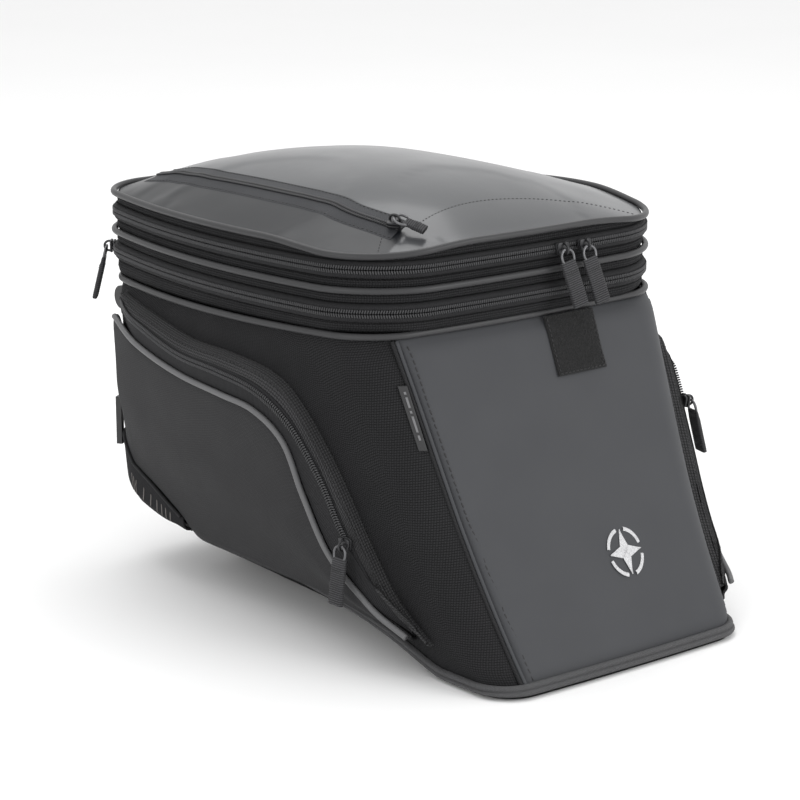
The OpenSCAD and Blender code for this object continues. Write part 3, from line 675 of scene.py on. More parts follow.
def front_seams():
    for side, name in SIDES:
        low = 0.0 if side < 0 else -1.0
        tube("front_seam_" + name, seam_path(0.3, side, 0.15 + low), 1.15, [1, 0, 0], COATED, "body", sides=10,
             slot="binding_black", replaces=("front_binding_" + name,))
        tube("front_seam_welt_" + name, seam_path(-2.2, side, low), 1.2, [1, 0, 0], SEAM, "body", sides=8,
             slot="binding_black")
        s = np.linspace(0.02, 0.975, 200)
        relief = front_relief(4.6, 180.0, s) if side < 0 else front_relief(180.0, 4.6, s)
        t = seam_station(s, 5.4, side)
        stitches("front_stitch_" + name, skin(t, s, relief + 0.05), skin_normal(t, s), "body", pitch=4.2,
                 size=(3.1, 0.95, 0.35), slot="binding_black")


def base():
    t = RING
    rows = [skin(t, 0.0, -0.4) - [0, 0, 0.4]]
    a, b = rows[0], np.concatenate([foot(t, 0), np.zeros((len(t), 1))], 1)
    for k in (0.35, 0.7, 0.93, 1.0):
        rows.append(lerp(a, b, k))
    c = np.concatenate([foot(t, 3.2), np.zeros((len(t), 1))], 1)
    rows += [c, c + [0, 0, 2.4]]
    sheet("base_hull_cloth", np.stack(rows, 1), BODY, "body", closed=True, flip=True, slot="body_textile",
          replaces=("base_hull",), held="stretched", rests_on=["base_plate"])
    profile = [(-2.0, 0.0), (-2.2, 1.0), (-1.7, 1.9), (-0.9, 2.1), (-0.1, 1.7), (0.2, 1.0), (0.55, 1.6),
               (1.2, 2.1), (2.2, 2.1), (3.0, 1.6), (3.3, 0.6), (3.4, -0.4)]
    P = np.stack([skin(t, h / 180, d) for h, d in profile], 1)
    sheet("base_binding_cloth", P, BINDING, "body", closed=True, slot="binding_grey",
          replaces=("base_binding",), held="folded", rests_on=["base_hull_cloth"])
    floor_ring = foot(t, 12.0)
    z = np.full((len(t), 1), 5.6)
    centre = np.array([0, -30.0, 5.6])
    edge = np.concatenate([floor_ring, z], 1)
    P = np.stack([lerp(centre, edge, k) for k in (0.02, 0.3, 0.6, 0.85, 1.0)], 1)
    sheet("base_pad", P, LINING, "body", closed=True, flip=True, thick=1.6, slot="lining",
          replaces=("base_board",), fill=0.9)


def lining():
    s = np.linspace(0.04, 0.97, 30)
    t, s = np.meshgrid(RING[::2], s, indexing="ij")
    P = skin(t, s, -4.0 + 0.4 * ripple(t * 110, s * 180, 60, 5))
    sheet("body_lining", P, LINING, "body", closed=True, flip=True, slot="lining", replaces=("body_liner",),
          held="hung", rests_on=["side_shell_cloth"])


def rim_ring(name, profile, mat, body, slot, replaces=(), t=RING, closed=True, **kw):
    P = np.stack([rim_at(t, d, z) for d, z in profile], 1)
    return sheet(name, P, mat, body, closed=closed, slot=slot, replaces=replaces, **kw)


def upper_band():
    low = top_edge(rim(RING, -2)[1]) + 1.6
    rows = [np.stack([*rim(RING, d), lerp(low, 198.2, k)], -1)
            for k, d in ((0, -2.8), (0.2, -1.7), (0.5, -1.0), (0.8, -1.3), (1, -2.4))]
    sheet("upper_band_cloth", np.stack(rows, 1), BODY, "body", closed=True, thick=1.6, slot="body_textile",
          replaces=("upper_band",), held="stretched", rests_on=["body_piping_cord"])


def zip_half(name, z0, sign, body, t=RING, closed=True, tall=1.0):
    """Tape of one half of a zip round the rim line, with its row of teeth."""
    profile = [(-2.6, 5.3), (-1.3, 5.2), (-0.3, 4.7), (0.3, 3.9), (0.5, 3.2), (0.55, 0.25)]
    if sign > 0:
        profile = profile[::-1]
    tape = [(d, z0 + sign * h * tall) for d, h in profile]
    rim_ring(name + "_tape", tape, TAPE, body, "zip_tape", (name,), t, closed, thick=0.7)
    tt = np.linspace(0.97, 8.03, 900)
    path = rim_at(tt, 0.7, z0)
    normals = unit(rim_at(tt, 3.7, z0) - path)
    coil(name + "_teeth", path, normals, body, sign)


def rim_piping(node, path, body):
    tube(node + "_cord", path, PIPING_R, [0, 0, 1], PIPING, body, closed=True, sides=14, slot="piping_black",
         replaces=(node,))


def collar():
    zip_half("expansion_zip_lower", EXPANSION_Z, -1, "body")
    zip_half("expansion_zip_upper", EXPANSION_Z, 1, "collar")
    zip_half("main_zip_lower", MAIN_Z, -1, "collar")
    tt = np.linspace(0.96, 8.04, 380)
    zip_half("main_zip_upper", MAIN_Z, 1, "lid", tt, False, 0.86)
    rim_ring("collar_band_cloth", [(-2.8, 208.0), (-1.5, 208.9), (-0.9, 210.4), (-1.0, 212.4), (-1.7, 214.2),
                                   (-2.2, 216.0), (-1.7, 217.8), (-1.0, 219.4), (-1.2, 221.4), (-2.8, 223.0)],
             BODY, "collar", "body_textile", ("collar_band",), thick=1.8, held="stretched",
             rests_on=["collar_piping_cord"])
    rim_piping("collar_piping", rim_at(RING, 0.4, COLLAR_Z), "collar")
    rim_piping("body_piping", skin(RING, 1.0, 0.0), "body")
    rim_piping("lid_piping", rim_top(RING, 0.4, 0.0), "lid")
    low = MAIN_Z + 4.3
    rows = [rim_at(RING, -2.6, low)]
    for k, d in ((0.25, -1.6), (0.6, -1.4), (1.0, -2.2)):
        rows.append(lerp(rim_at(RING, d, low), rim_top(RING, d, -1.2), k))
    sheet("lid_band_cloth", np.stack(rows, 1), BODY, "lid", closed=True, thick=1.8, slot="body_textile",
          replaces=("lid_band",), held="stretched", rests_on=["lid_piping_cord"])
    t = np.linspace(-0.95, 0.95, 60)
    profile = [(-1.4, 222.4), (-0.7, 224.5), (-0.5, 226.5), (-0.5, 228.0), (-0.5, 229.5), (-0.7, 231.5),
               (-1.4, 233.4)]
    hinge = rim_ring("hinge_tape", profile, BODY, None, "body_textile", ("lid_hinge_tape",), t, False,
                     thick=0.9, held="folded", rests_on=["collar_band_cloth"])
    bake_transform(hinge)
    z = np.linspace(195.5, 210.5, 25)
    P = np.stack([rim_at(RING, -6.6 + 0.9 * math.cos(k * math.pi * 0.5), h) for k, h in enumerate(z)], 1)
    gusset = sheet("expansion_gusset_cloth", P, GUSSET, None, closed=True, slot="gusset_textile",
                   replaces=("expansion_gusset",), held="folded", rests_on=["upper_band_cloth"])
    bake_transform(gusset)


# ---------------------------------------------------------------- lid

def lid_grid(n):
    """Square grid of stations and reaches over the lid: the square's edge is the rim."""
    a, b = np.meshgrid(np.linspace(-1, 1, n), np.linspace(-1, 1, n), indexing="ij")
    rho = np.maximum(np.abs(a), np.abs(b))
    safe = np.maximum(rho, 1e-9)
    x, y = a / safe, b / safe
    tt = np.linspace(1.5, 10.5, 2000)
    length = distance(np.stack(rim(tt, -2), -1))
    starts = [(x <= -1 + 1e-6, 1.5, 3.5, (1 - y) / 2), (y <= -1 + 1e-6, 3.5, 5.5, (1 + x) / 2),
              (x >= 1 - 1e-6, 5.5, 7.5, (1 + y) / 2), (y >= 1 - 1e-6, 7.5, 10.5, (1 - x) / 2)]
    t = np.full(a.shape, 1.5)
    for mask, t0, t1, g in starts:
        l0, l1 = np.interp([t0, t1], tt, length)
        t = np.where(mask, np.interp(l0 + (l1 - l0) * g, length, tt), t)
    return t, 1 - rho


def smoothed(P, rounds=14, weights=(0.5, 0.5, 0.8)):
    P, weights = P.copy(), np.array(weights)
    for _ in range(rounds):
        mean = (P[:-2, 1:-1] + P[2:, 1:-1] + P[1:-1, :-2] + P[1:-1, 2:]) / 4
        P[1:-1, 1:-1] = lerp(P[1:-1, 1:-1], mean, weights)
    return P


def front_arc(x):
    return -71 - 25.5 * (x / 99) ** 2


MAP_LINE = lid_surface(*curve(MAP_ARC, np.linspace(0, 1, 80)).T)[:, :2]
# Tint of each zone under the film. The side zone is black fabric made darker still as painted shade of the lid's
# left side; front and map are the fabrics' own greys.
ZONE_TINTS_AND_SIDE_SHADE = {"side": (0.006, 0.007, 0.009), "front": (0.048, 0.050, 0.054), "map": (0.042, 0.045, 0.049)}


def lid():
    n = 51
    t, q = lid_grid(n)
    P = smoothed(lid_surface(t, q))
    P[..., 2] += 0.35 * ripple(P[..., 0], P[..., 1], 120, 21) * dip(q * 120, 20)
    ob = make("lid_window_film", P, grid_faces(n, n, False), FILM, None, grid_uv(P, False), slot="window_film")
    pin = np.ones((n, n))
    pin[1:-1, 1:-1] = 0
    settle(ob, pin, 0.1, 0.3)
    sub = ob.modifiers.new("smooth", "SUBSURF")
    sub.levels = sub.render_levels = 2
    dg = bpy.context.evaluated_depsgraph_get()
    fine = bpy.data.meshes.new_from_object(ob.evaluated_get(dg))
    fine.name = "lid_window_film"
    ob.modifiers.clear()
    ob.data = fine
    co = np.array([v.co for v in fine.vertices], float) / MM
    along_y = np.interp(co[:, 1], MAP_LINE[:, 1], MAP_LINE[:, 0])
    # Mask of the side zone, which carries the painted shade of the lid's left side.
    w_side_shade = ease((along_y - co[:, 0]) / 1.6 + 0.5) * (co[:, 0] < 0)
    w_front = ease((front_arc(co[:, 0]) - co[:, 1]) / 1.6 + 0.5)
    mitre = ease(((co[:, 0] + 76) - (co[:, 1] + 66)) / 3 + 0.5)
    w_front = w_front * np.where(co[:, 0] < -70, mitre, 1)
    w_side_shade = w_side_shade * (1 - w_front)
    colour = (np.outer(w_front, ZONE_TINTS_AND_SIDE_SHADE["front"]) + np.outer(w_side_shade, ZONE_TINTS_AND_SIDE_SHADE["side"])
              + np.outer(np.maximum(0, 1 - w_front - w_side_shade), ZONE_TINTS_AND_SIDE_SHADE["map"]))
    layer = fine.attributes.new("zone", "FLOAT_COLOR", "POINT")
    rgba = np.concatenate([colour, np.ones((len(co), 1))], 1)
    layer.data.foreach_set("color", rgba.astype(np.float32).ravel())
    solid = ob.modifiers.new("wall", "SOLIDIFY")
    solid.thickness, solid.offset = 1.8 * MM, -1
    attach(ob, "lid")
    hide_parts("lid_top")
    inner = lid_surface(t, clamp01(q * 0.985 + 0.015), -3.6)
    sheet("lid_lining", smoothed(inner), LINING, "lid", flip=True, slot="lining",
          replaces=("lid_liner",), held="stretched", rests_on=["lid_band_cloth"])
    return BVHTree.FromPolygons([v.co[:] for v in fine.vertices], [tuple(p.vertices) for p in fine.polygons])


def on_lid(tree, xy, lift=0.0):
    """Points on the finished lid above the given plan positions, and their normals."""
    out, normals = [], []
    for x, y in xy:
        hit, normal, _, _ = tree.ray_cast(Vector((x * MM, y * MM, 0.4)), Vector((0, 0, -1)))
        if hit is None:
            continue
        normal = normal if normal.z > 0 else -normal
        out.append(np.array(hit) / MM + lift * np.array(normal))
        normals.append(np.array(normal))
    return np.array(out), np.array(normals)


def offset_line(xy, distance):
    tangent = unit(np.gradient(xy, axis=0))
    return xy + distance * np.stack([-tangent[:, 1], tangent[:, 0]], -1)


def lid_details(tree):
    x = np.linspace(-70, 93, 120)
    arc = np.stack([x, front_arc(x)], -1)
    p, n = on_lid(tree, arc, -0.05)
    stitches("lid_stitch_front", p, n, "lid", pitch=3.0, size=(1.5, 0.7, 0.35), slot="piping_black")
    corner = np.linspace([-77, -70], [-101, -92], 30)
    p, n = on_lid(tree, corner, -0.05)
    stitches("lid_stitch_mitre", p, n, "lid", pitch=3.0, size=(1.5, 0.7, 0.35), slot="piping_black")
    line = MAP_LINE[(MAP_LINE[:, 1] > -81) & (MAP_LINE[:, 1] < 142)]
    even, old = np.linspace(0, 1, 160), np.linspace(0, 1, len(line))
    line = np.stack([np.interp(even, old, line[:, k]) for k in (0, 1)], -1)
    rows = []
    profile = [(-10.6, 0.05), (-10.0, 0.3), (-3.6, 0.35), (-3.0, 0.6), (0.0, 0.8), (3.0, 0.6), (3.6, 0.35),
               (10.0, 0.3), (10.6, 0.05)]
    for off, lift in profile:
        rows.append(on_lid(tree, offset_line(line, off), lift)[0])
    sheet("map_zip_tape", np.stack(rows, 1), MAP_TAPE, "lid", slot="zip_tape", replaces=("map_zip",),
          held="laid", rests_on=["lid_window_film"])
    p, n = on_lid(tree, line, 0.9)
    for side, name in ((-1, "inner"), (1, "outer")):
        coil("map_zip_teeth_" + name, p, n, "lid", side, pitch=1.6, width=2.2)
        q, m = on_lid(tree, offset_line(line, side * 9.2), 0.28)
        stitches("map_zip_stitch_" + name, q, m, "lid", pitch=3.0, size=(1.5, 0.7, 0.35), slot="piping_black")


# ---------------------------------------------------------------- side pockets


def ends(f):
    """The pocket is shallower at both ends of its zip."""
    return lerp(0.5, 1, ease(f / 0.1)) * lerp(0.5, 1, ease((1 - f) / 0.12))


def panel_depth(f, k):
    d = lerp(GUARD_DEPTH + 0.3, POCKET_DEPTH + 1.3, ease(1.8 * k)) * (1 - 0.75 * k * ease(1 - 4 * f))
    d = d * lerp(0.62, 1, ease((1 - f) / 0.14)) * lerp(0.55, 1, ease(f / 0.03))
    return d + 1.8 * np.sin(math.pi * clamp01(k)) * np.sin(math.pi * clamp01(f * 1.05))


def pocket_cover(side, name):
    cover = "pocket_cover_" + name
    wrap = [-0.09, -0.07]
    f, k = np.meshgrid(np.linspace(0, 1, 170), np.concatenate([wrap, np.linspace(-0.05, 1, 60)]), indexing="ij")
    reach = np.where(k < 0, k * lerp(0.35, 1.0, ease((f - 0.38) / 0.1)), k)
    belly = np.sin(math.pi * clamp01(k))
    d = panel_depth(f, np.maximum(k, 0)) - np.where(k < -0.04, 60 * (-0.04 - k), 0)
    d = d - 0.8 * np.exp(-((1 - k) * 130 / 4) ** 2) + 0.45 * ripple(f * 330, k * 130, 80, 31) * belly
    P = pocket(PANEL_FOOT, PANEL_TOP, f, reach * 0.985, side, d)
    panel = sheet("pocket_panel_cloth_" + name, P, POCKET, None, thick=1.6, flip=side > 0,
                  slot="pocket_softshell", replaces=("pocket_panel_" + name,), held="stretched",
                  rests_on=["side_shell_cloth"])
    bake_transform(panel)
    u = np.linspace(0, 1, 220)
    crest = pocket(CORD, CORD, u, 0, side, (POCKET_DEPTH + 2.4) * lerp(0.62, 1, ends(u)))
    tube("pocket_piping_cord_" + name, crest, 1.8, [1, 0, 0], REFLECTIVE, cover, sides=14,
         slot="piping_reflective", replaces=("pocket_piping_" + name,))
    f, a = np.meshgrid(u, np.array([0.1, 0.2, 0.5, 0.72, 0.9, 0.97]), indexing="ij")
    P = pocket(CORD, CHAIN, f, a, side, (POCKET_DEPTH + 1.0 + 0.7 * a) * ends(f))
    sheet("pocket_tape_cover_" + name, P, TAPE, cover, thick=0.6, flip=side > 0, slot="zip_tape",
          replaces=("pocket_tape_" + name,), held="stretched", rests_on=["pocket_panel_cloth_" + name])


def pocket_wall(side, name):
    u = np.linspace(0, 1, 220)
    f, a = np.meshgrid(u, np.array([0.03, 0.1, 0.3, 0.36]), indexing="ij")
    P = pocket(CHAIN, OUTER, f, a, side, (POCKET_DEPTH + 1.7 - 2.0 * a) * ends(f))
    sheet("pocket_tape_body_" + name, P, TAPE, "body", thick=0.6, flip=side > 0, slot="zip_tape",
          replaces=("pocket_zip_" + name,))
    f, a = np.meshgrid(u, np.concatenate([np.linspace(0, 0.12, 8), np.linspace(0.16, 1, 14)]), indexing="ij")
    d = lerp(0.2, POCKET_DEPTH - 2.2, np.sqrt(clamp01(a / 0.12))) + 2.6 * ease((a - 0.12) / 0.88)
    d = d * ends(f) + 0.55 * ripple(f * 300, a * 40, 50, 41) * np.sin(math.pi * clamp01(a))
    d = d - 0.5 * np.exp(-((a - 0.3) / 0.05) ** 2)
    P = pocket(OUTER, CHAIN, f, a * 0.72, side, d)
    sheet("pocket_gusset_cloth_" + name, P, GUSSET, "body", thick=1.2, flip=side < 0, slot="gusset_textile",
          replaces=("pocket_gusset_" + name,), held="stretched", rests_on=["side_shell_cloth"])


def pocket_teeth(side, name):
    u = np.linspace(0.02, POCKET_STOP[side], 500)
    t, s = between(CHAIN, CHAIN, u, 0, side)
    path, normals = skin(t, s, (POCKET_DEPTH + 1.7) * ends(u)), skin_normal(t, s)
    coil("pocket_teeth_body_" + name, path, normals, "body", -side)
    coil("pocket_teeth_cover_" + name, path, normals, "pocket_cover_" + name, side)
    u = np.linspace(0.04, 0.97, 400)
    t, s = between(OUTER, CHAIN, u, 0.3 * 0.72, side)
    stitches("pocket_stitch_" + name, skin(t, s, (POCKET_DEPTH - 1.9) * ends(u)), skin_normal(t, s), "body",
             pitch=3.2, size=(2.0, 0.6, 0.35), slot="binding_black")


def pockets():
    for side, name in SIDES:
        pocket_cover(side, name)
        pocket_wall(side, name)
        pocket_teeth(side, name)


# ---------------------------------------------------------------- sliders and pullers

def place(m, P):
    P = np.asarray(P, float)
    return P @ m[:3, :3].T + m[:3, 3]


def turn(axis, degrees):
    m = np.eye(4)
    m[:3, :3] = np.array(Matrix.Rotation(math.radians(degrees), 3, axis))
    return m


def shift(x, y, z):
    m = np.eye(4)
    m[:3, 3] = x, y, z
    return m


def loft(name, sections, mat, body, **kw):
    """Closed surface through rings of points, all with the same count."""
    R = np.asarray(sections, float)
    girth = distance(np.concatenate([R, R[:, :1]], 1), 1)
    return ringed(name, R, distance(R.mean(1)), girth, False, mat, body, **kw)


def bevelled(name, outline, heights, m, mat, body, inset=0.5, **kw):
    """Plate of the given plan outline, with rounded upper and lower edges."""
    outline = np.asarray(outline, float)
    centre = outline.mean(0)
    z0, z1 = heights
    rings = []
    for z, k in ((z0, inset), (z0 + inset * 0.3, inset * 0.3), (z0 + inset, 0), (z1 - inset, 0),
                 (z1 - inset * 0.3, inset * 0.3), (z1, inset)):
        to = outline - centre
        r = np.linalg.norm(to, axis=1, keepdims=True)
        ring = centre + to * (r - k) / r
        rings.append(place(m, np.concatenate([ring, np.full((len(ring), 1), z)], 1)))
    return loft(name, rings, mat, body, **kw)


def rounded_outline(points, rounds=2):
    p = np.asarray(points, float)
    for _ in range(rounds):
        q = np.roll(p, -1, 0)
        p = np.stack([0.75 * p + 0.25 * q, 0.25 * p + 0.75 * q], 1).reshape(-1, 2)
    return p


SLIDER_OUTLINE = rounded_outline([(-2.6, -4.2), (2.6, -4.2), (3.6, -1.5), (4.5, 1.5), (4.4, 3.6), (1.6, 4.2),
                                  (0, 3.2), (-1.6, 4.2), (-4.4, 3.6), (-4.5, 1.5), (-3.6, -1.5)])


def slider(name, m):
    body = name + "_body"
    bevelled(name + "_plate", SLIDER_OUTLINE, (1.6, 3.1), m, METAL, body, slot="slider_metal", replaces=(name,))
    bevelled(name + "_under", SLIDER_OUTLINE * 0.94, (-0.4, 1.2), m, METAL, body, slot="slider_metal")
    a = np.linspace(0, math.pi, 24)
    bridge = np.stack([np.zeros(24), 3.1 * np.cos(a), 2.6 + 4.2 * np.sin(a) ** 0.7], -1)
    tube(name + "_bridge", place(m, bridge), 0.75, m[:3, 0], METAL, body, sides=10, slot="slider_metal")


def puller(name, m, lean, twist, width=11.0, length=25.0):
    """Wire ring with a ribbed webbing tab, hanging from a slider's lug."""
    body = name + "_body"
    drop = 9.0
    m = m @ shift(0, 0, LUG) @ turn("X", -lean)
    h, r = 4.6, 4.0
    path = []
    corners = ((-h + r, -r), (-h + r, -drop + r), (h - r, -drop + r), (h - r, -r))
    for (cx, cy), a0 in zip(corners, (0.5, 1.0, 1.5, 2.0)):
        for a in np.linspace(a0 * math.pi, (a0 + 0.5) * math.pi, 9):
            path.append((cx + r * math.cos(a), cy + r * math.sin(a), 0))
    tube(name + "_ring", place(m, np.array(path)), 0.85, m[:3, 2], WIRE, body, closed=True, slot="slider_metal",
         replaces=(name,))
    m = m @ shift(0, -drop, 0) @ turn("Z", twist)
    ys = np.linspace(2.6, -length, 150)
    rings = []
    a = np.linspace(0, 2 * math.pi, 40, endpoint=False)
    for y in ys:
        nose = math.sqrt(max(0.02, 1 - clamp01((y - 0.2) / 2.6) ** 2))
        thick = 1.55 * nose * (0.78 + 0.22 * ease((-y - 1.0) / 3))
        thick *= 1 - 0.1 * clamp01((-y - length + 2) / 2)
        half = width / 2 * (1 - 0.02 * ease((y + 3) / 4))
        x = half * np.sign(np.cos(a)) * np.abs(np.cos(a)) ** 0.28
        z = np.sign(np.sin(a)) * np.abs(np.sin(a)) ** 0.5
        lobes = 0.86 + 0.16 * np.abs(np.sin(x / width * 2 * math.pi)) + 0.12 * np.exp(-((x / 0.9) ** 2))
        rib = math.sin(2 * math.pi * y / 1.3)
        section = [x * (1 + 0.004 * rib), np.full(40, y), z * thick * lobes * (1 + 0.07 * rib)]
        rings.append(np.stack(section, -1))
    loft(name + "_webbing", [place(m, q) for q in rings], WEBBING, body, slot="puller_webbing")
    for row in (-5.2, -3.9):
        reach = width / 2 - 1.2
        line = np.stack([np.linspace(-reach, reach, 20), np.full(20, row), np.full(20, 1.5)], -1)
        stitches(f"{name}_bar{int(-row)}", place(m, line), np.tile(m[:3, 2], (20, 1)), body, pitch=1.4,
                 size=(1.1, 0.5, 0.35), slot="puller_webbing")


def main_frame(side):
    return frame_at([19.0 if side < 0 else 36.0, LID_FRONT - 7.7, MAIN_Z], [0, -1, 0], [0, 0, -1])


def expansion_frame():
    a = math.radians(141)
    out = np.array([math.cos(a), math.sin(a), 0])
    return frame_at(rim_at(1.567, 1.6, EXPANSION_Z) + 0.1 * out, out, [0, 0, -1])


def pocket_frame(side):
    t, s = between(CHAIN, CHAIN, POCKET_STOP[side], 0, side)
    return frame_at(skin(t, s, POCKET_DEPTH + 1.6), skin_normal(t, s), [0, 0, -1])


def zips():
    for side, name in SIDES:
        slider("main_slider_" + name, main_frame(side))
        puller("main_puller_" + name, main_frame(side), 14, 11)
        slider("pocket_slider_" + name, pocket_frame(side))
        puller("pocket_puller_" + name, pocket_frame(side), 14, 0)
    slider("expansion_slider", expansion_frame())
    puller("expansion_puller", expansion_frame(), 14, 0)
    m = frame_at(lid_surface(3.69, 0.152, 1.6), [-0.22, -0.3, 1], [0.5, -1, 0])
    slider("map_slider", m)
    puller("map_puller", m, -12, 0, 7.0, 10.0)


# ---------------------------------------------------------------- trims

def local_patch(t0, s0, u, v, d):
    """Surface points u, v millimetres to the right and up from a station and height, seen from outside."""
    u, v, d = arr(u, v, d)
    du = np.linalg.norm(skin_at(t0 + 0.01, s0) - skin_at(t0 - 0.01, s0)) / 0.02
    dv = np.linalg.norm(skin_at(t0, s0 + 0.01) - skin_at(t0, s0 - 0.01)) / 0.02
    return skin(t0 + u / du, s0 + v / dv, d)


def emblem():
    """Plain four-pointed star inside a broken ring, in raised satin stitch."""
    t0, s0 = 4.648, 0.281
    wide, tall = 1.18, 1.12
    for k in range(4):
        a = math.radians(90 * k)
        n, w = 22, 5
        r = np.linspace(0.0, 10.2, n)
        half = np.minimum(2.9 * np.clip(1 - (r - 1.6) / 8.9, 0, 1) ** 1.1 + 0.12, r + 0.02)
        x, y = np.meshgrid(np.arange(n), np.linspace(-1, 1, w), indexing="ij")
        rr, hh = r[x], half[x] * y
        u, v = rr * math.cos(a) - hh * math.sin(a), rr * math.sin(a) + hh * math.cos(a)
        P = local_patch(t0, s0, u * wide, v * wide * tall, 2.55 + 0.55 * (1 - y**2))
        sheet(f"emblem_point{k}", P, THREAD_LIGHT, "body", slot="emblem_thread",
              replaces=("emblem_patch",) if k == 0 else ())
        n = 26
        b = np.linspace(math.radians(90 * k + 14), math.radians(90 * k + 76), n)
        x, y = np.meshgrid(b, np.linspace(-1, 1, w), indexing="ij")
        rr = 10.4 + 0.9 * y
        u, v = rr * wide * np.cos(x), rr * wide * np.sin(x) * tall
        P = local_patch(t0, s0, u, v, 2.55 + 0.5 * (1 - y**2))
        sheet(f"emblem_arc{k}", P, THREAD_LIGHT, "body", flip=True, slot="emblem_thread")


def label():
    """Rubber label by the seam with plain raised bars."""
    t, s = np.meshgrid(np.linspace(3.605, 3.715, 14), np.linspace(0.66, 0.85, 40), indexing="ij")
    sheet("label_tab_rubber", skin(t, s, 2.3), RUBBER, "body", thick=1.4, slot="label_rubber",
          replaces=("label_tab",))
    bars = [(0.69, 0.705), (0.713, 0.76), (0.768, 0.776), (0.784, 0.816), (0.824, 0.832)]
    for i, (a, b) in enumerate(bars):
        t, s = np.meshgrid(np.linspace(3.648, 3.676, 6), np.linspace(a, b, 10), indexing="ij")
        sheet(f"label_bar{i}", skin(t, s, 2.55), BAR, "body", thick=0.3, slot="label_rubber")


def guard_edge(f, side):
    """Station and height along the upper edge of a corner guard."""
    edge = curve(GUARD_TOP, f)
    return edge[..., 0] if side < 0 else LAST - edge[..., 0], edge[..., 1]


def guards():
    """Padded corner guards with a rolled upper edge and slanted rows of hatch stitches."""
    for side, name in SIDES:
        f, k = np.meshgrid(np.linspace(0, 1, 90), np.linspace(0, 1, 24), indexing="ij")
        t, top = guard_edge(f, side)
        d = lerp(2.0, GUARD_DEPTH + 1.2, ease(4 * f)) * (0.45 + 0.55 * dip(k, 0.16)) + 0.5 * dip(1 - k, 0.1)
        sheet("corner_guard_pad_" + name, skin(t, lerp(0.0, top + 0.006, k), d), GUARD, "body", thick=1.2,
              flip=side > 0, slot="guard_textile", replaces=("corner_guard_" + name,), fill=0.85)
        u = np.linspace(0.02, 0.97, 120)
        t, top = guard_edge(u, side)
        depth = lerp(2.0, GUARD_DEPTH + 1.2, ease(4 * u)) + 0.3
        tube("corner_guard_edge_" + name, skin(t, top + 0.002, depth), 0.9, [1, 0, 0], SEAM, "body", sides=8,
             slot="guard_textile")
        p = np.concatenate([np.stack([np.linspace(c, c + 0.015, 8), np.linspace(0.3, 0.62, 8)], -1)
                            for c in 0.5 + 0.045 * np.arange(9)])
        t, top = guard_edge(p[:, 0], side)
        s, depth = top * p[:, 1], GUARD_DEPTH + 1.75
        P, N = skin(t, s, depth), skin_normal(t, s)
        up = unit(skin(t, s + 0.02, depth) - P)
        copies("corner_guard_hatch_" + name, *pill(2.0, 0.8, 0.3), P, up, np.cross(N, up), N, HATCH, "body",
               slot="guard_textile")


def strap_tabs():
    """Folded webbing that carries each strap ring, with a bar of stitches along both edges."""
    for side, name in SIDES:
        mid = 1.42 if side < 0 else LAST - 1.42
        t, s = np.meshgrid(np.linspace(mid - 0.2, mid + 0.2, 40), np.linspace(0.43, 0.5, 24), indexing="ij")
        k = (s - 0.43) / 0.07
        d = 0.7 + 4.7 * np.sqrt(np.maximum(0, 1 - (2 * k - 1) ** 4)) + 0.12 * np.sin(t * 160)
        sheet("strap_tab_webbing_" + name, skin(t, s, d), WEBBING, "body", slot="binding_black",
              replaces=("strap_tab_" + name,), held="folded", rests_on=["side_shell_cloth"])
        for row, height in enumerate((0.445, 0.485)):
            t = np.linspace(mid - 0.18, mid + 0.18, 30)
            stitches(f"strap_tab_stitch{row}_{name}", skin(t, height, 4.9), skin_normal(t, height), "body",
                     pitch=2.6, size=(1.9, 0.7, 0.4), slot="binding_black")


def hook_flap():
    t0, t1, s0 = 4.555, 4.785, 0.8
    t, s = np.meshgrid(np.linspace(t0, t1, 90), np.linspace(s0, 0.985, 80), indexing="ij")
    edge = np.minimum(np.minimum(t - t0, t1 - t) * 165, np.minimum(s - s0, 1 - s) * 200)
    fuzz = rng.uniform(-0.35, 0.35, t.shape)
    d = 2.6 + 0.5 * dip(edge, 1.5) + fuzz * dip(edge, 1.0) + 0.8 * ease((0.86 - s) / 0.06)
    sheet("hook_flap_cloth", skin(t, s, d), HOOK, "hook_flap_body", thick=1.4, slot="hook_and_loop",
          replaces=("hook_flap",), held="hung", rests_on=["body_piping_cord"])
    left, right, low = 4.562, 4.778, 0.806
    fall, across = np.linspace(0.98, low, 40), np.linspace(left, right, 40)
    t = np.concatenate([np.full(40, left), across, np.full(40, right)])
    s = np.concatenate([fall, np.full(40, low), fall[::-1]])
    stitches("hook_flap_stitch", skin(t, s, 3.0 + 0.8 * ease((0.86 - s) / 0.06)), skin_normal(t, s),
             "hook_flap_body", pitch=3.0, size=(2.0, 0.7, 0.4), slot="hook_and_loop")


def keep_cad():
    """CAD nodes whose shape is right get a moulded finish."""
    finishes = {"base_plate": MOULDED, "handle_mount_left": MOULDED, "handle_mount_right": MOULDED,
                "carry_handle": MOULDED, "strap_ring_left": MOULDED, "strap_ring_right": MOULDED}
    for name, mat in finishes.items():
        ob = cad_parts[name]
        ob.data.materials.clear()
        ob.data.materials.append(mat)


# ---------------------------------------------------------------- stage, lights and camera

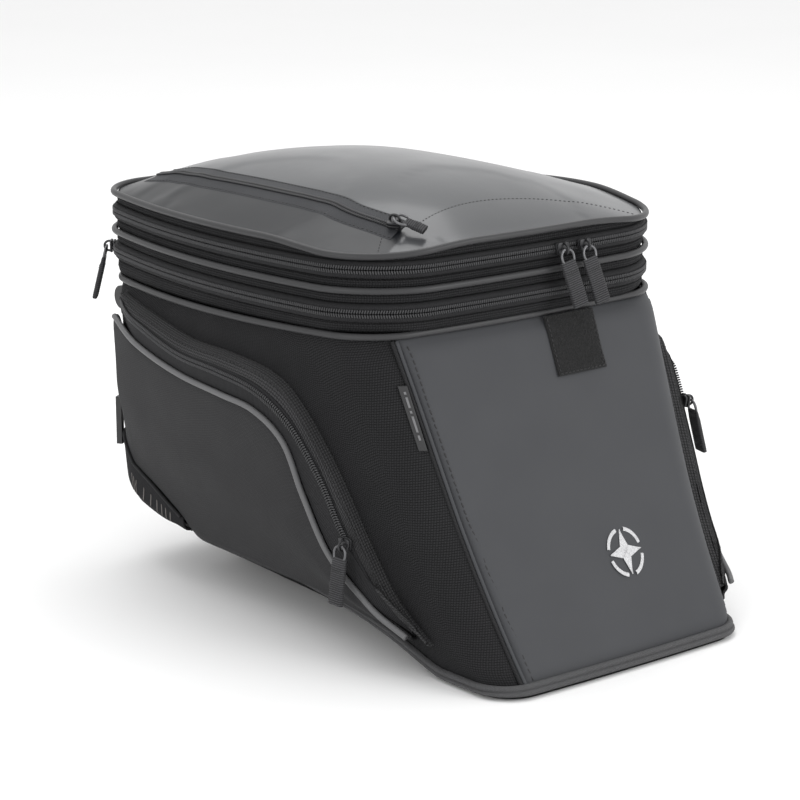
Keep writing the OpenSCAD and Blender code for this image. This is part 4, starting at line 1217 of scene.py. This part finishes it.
def stage():
    me = bpy.data.meshes.new("floor")
    me.from_pydata([(-6, -6, -0.0004), (6, -6, -0.0004), (6, 6, -0.0004), (-6, 6, -0.0004)], [], [(0, 1, 2, 3)])
    floor = bpy.data.objects.new("floor", me)
    collection.objects.link(floor)
    m = Shader("floor_paper", (0.9, 0.9, 0.9), 0.9)
    m.paint(m.mix(m.noise(3.0, 2.0), (0.88, 0.88, 0.88), (0.9, 0.9, 0.9)))
    me.materials.append(m.mat)
    world = bpy.data.worlds.new("studio")
    bpy.context.scene.world = world
    world.use_nodes = True
    back = world.node_tree.nodes["Background"]
    back.inputs["Color"].default_value = (1, 1, 1, 1)
    back.inputs["Strength"].default_value = 1.0
    bpy.context.scene.view_settings.view_transform = "Standard"

    def area(name, place_at, target, size, power):
        light = bpy.data.lights.new(name, "AREA")
        light.shape, light.size, light.size_y, light.energy = "RECTANGLE", size[0], size[1], power
        ob = bpy.data.objects.new(name, light)
        collection.objects.link(ob)
        ob.location = place_at
        ob.rotation_euler = (Vector(target) - Vector(place_at)).to_track_quat("-Z", "Y").to_euler()

    area("top_light", (0.2, 0.6, 1.8), (0, 0, 0.1), (1.6, 1.2), 14)
    area("front_light", (0.9, -1.9, 1.0), (0, 0, 0.12), (1.2, 1.2), 16)
    area("left_light", (-1.9, -0.6, 0.7), (0, 0, 0.12), (1.0, 1.0), 6)


def camera():
    cam = bpy.data.cameras.new("photo_camera")
    ob = bpy.data.objects.new("photo_camera", cam)
    collection.objects.link(ob)
    azimuth, elevation, distance_m = math.radians(-38.8), math.radians(14.2), 1.622
    level = math.cos(elevation)
    back = Vector((math.sin(azimuth) * level, -math.cos(azimuth) * level, math.sin(elevation)))
    ob.location = Vector((0, 0, 0.13)) + distance_m * back
    ob.rotation_euler = (-back).to_track_quat("-Z", "Y").to_euler()
    cam.sensor_width, cam.lens = 36, 119.07
    cam.shift_x, cam.shift_y = -0.018125, -0.023375
    cam.clip_start, cam.clip_end = 0.05, 30
    bpy.context.scene.camera = ob


side_shell()
front_panel()
front_seams()
base()
lining()
upper_band()
collar()
lid_tree = lid()
lid_details(lid_tree)
pockets()
zips()
emblem()
label()
guards()
strap_tabs()
hook_flap()
keep_cad()
stage()
camera()
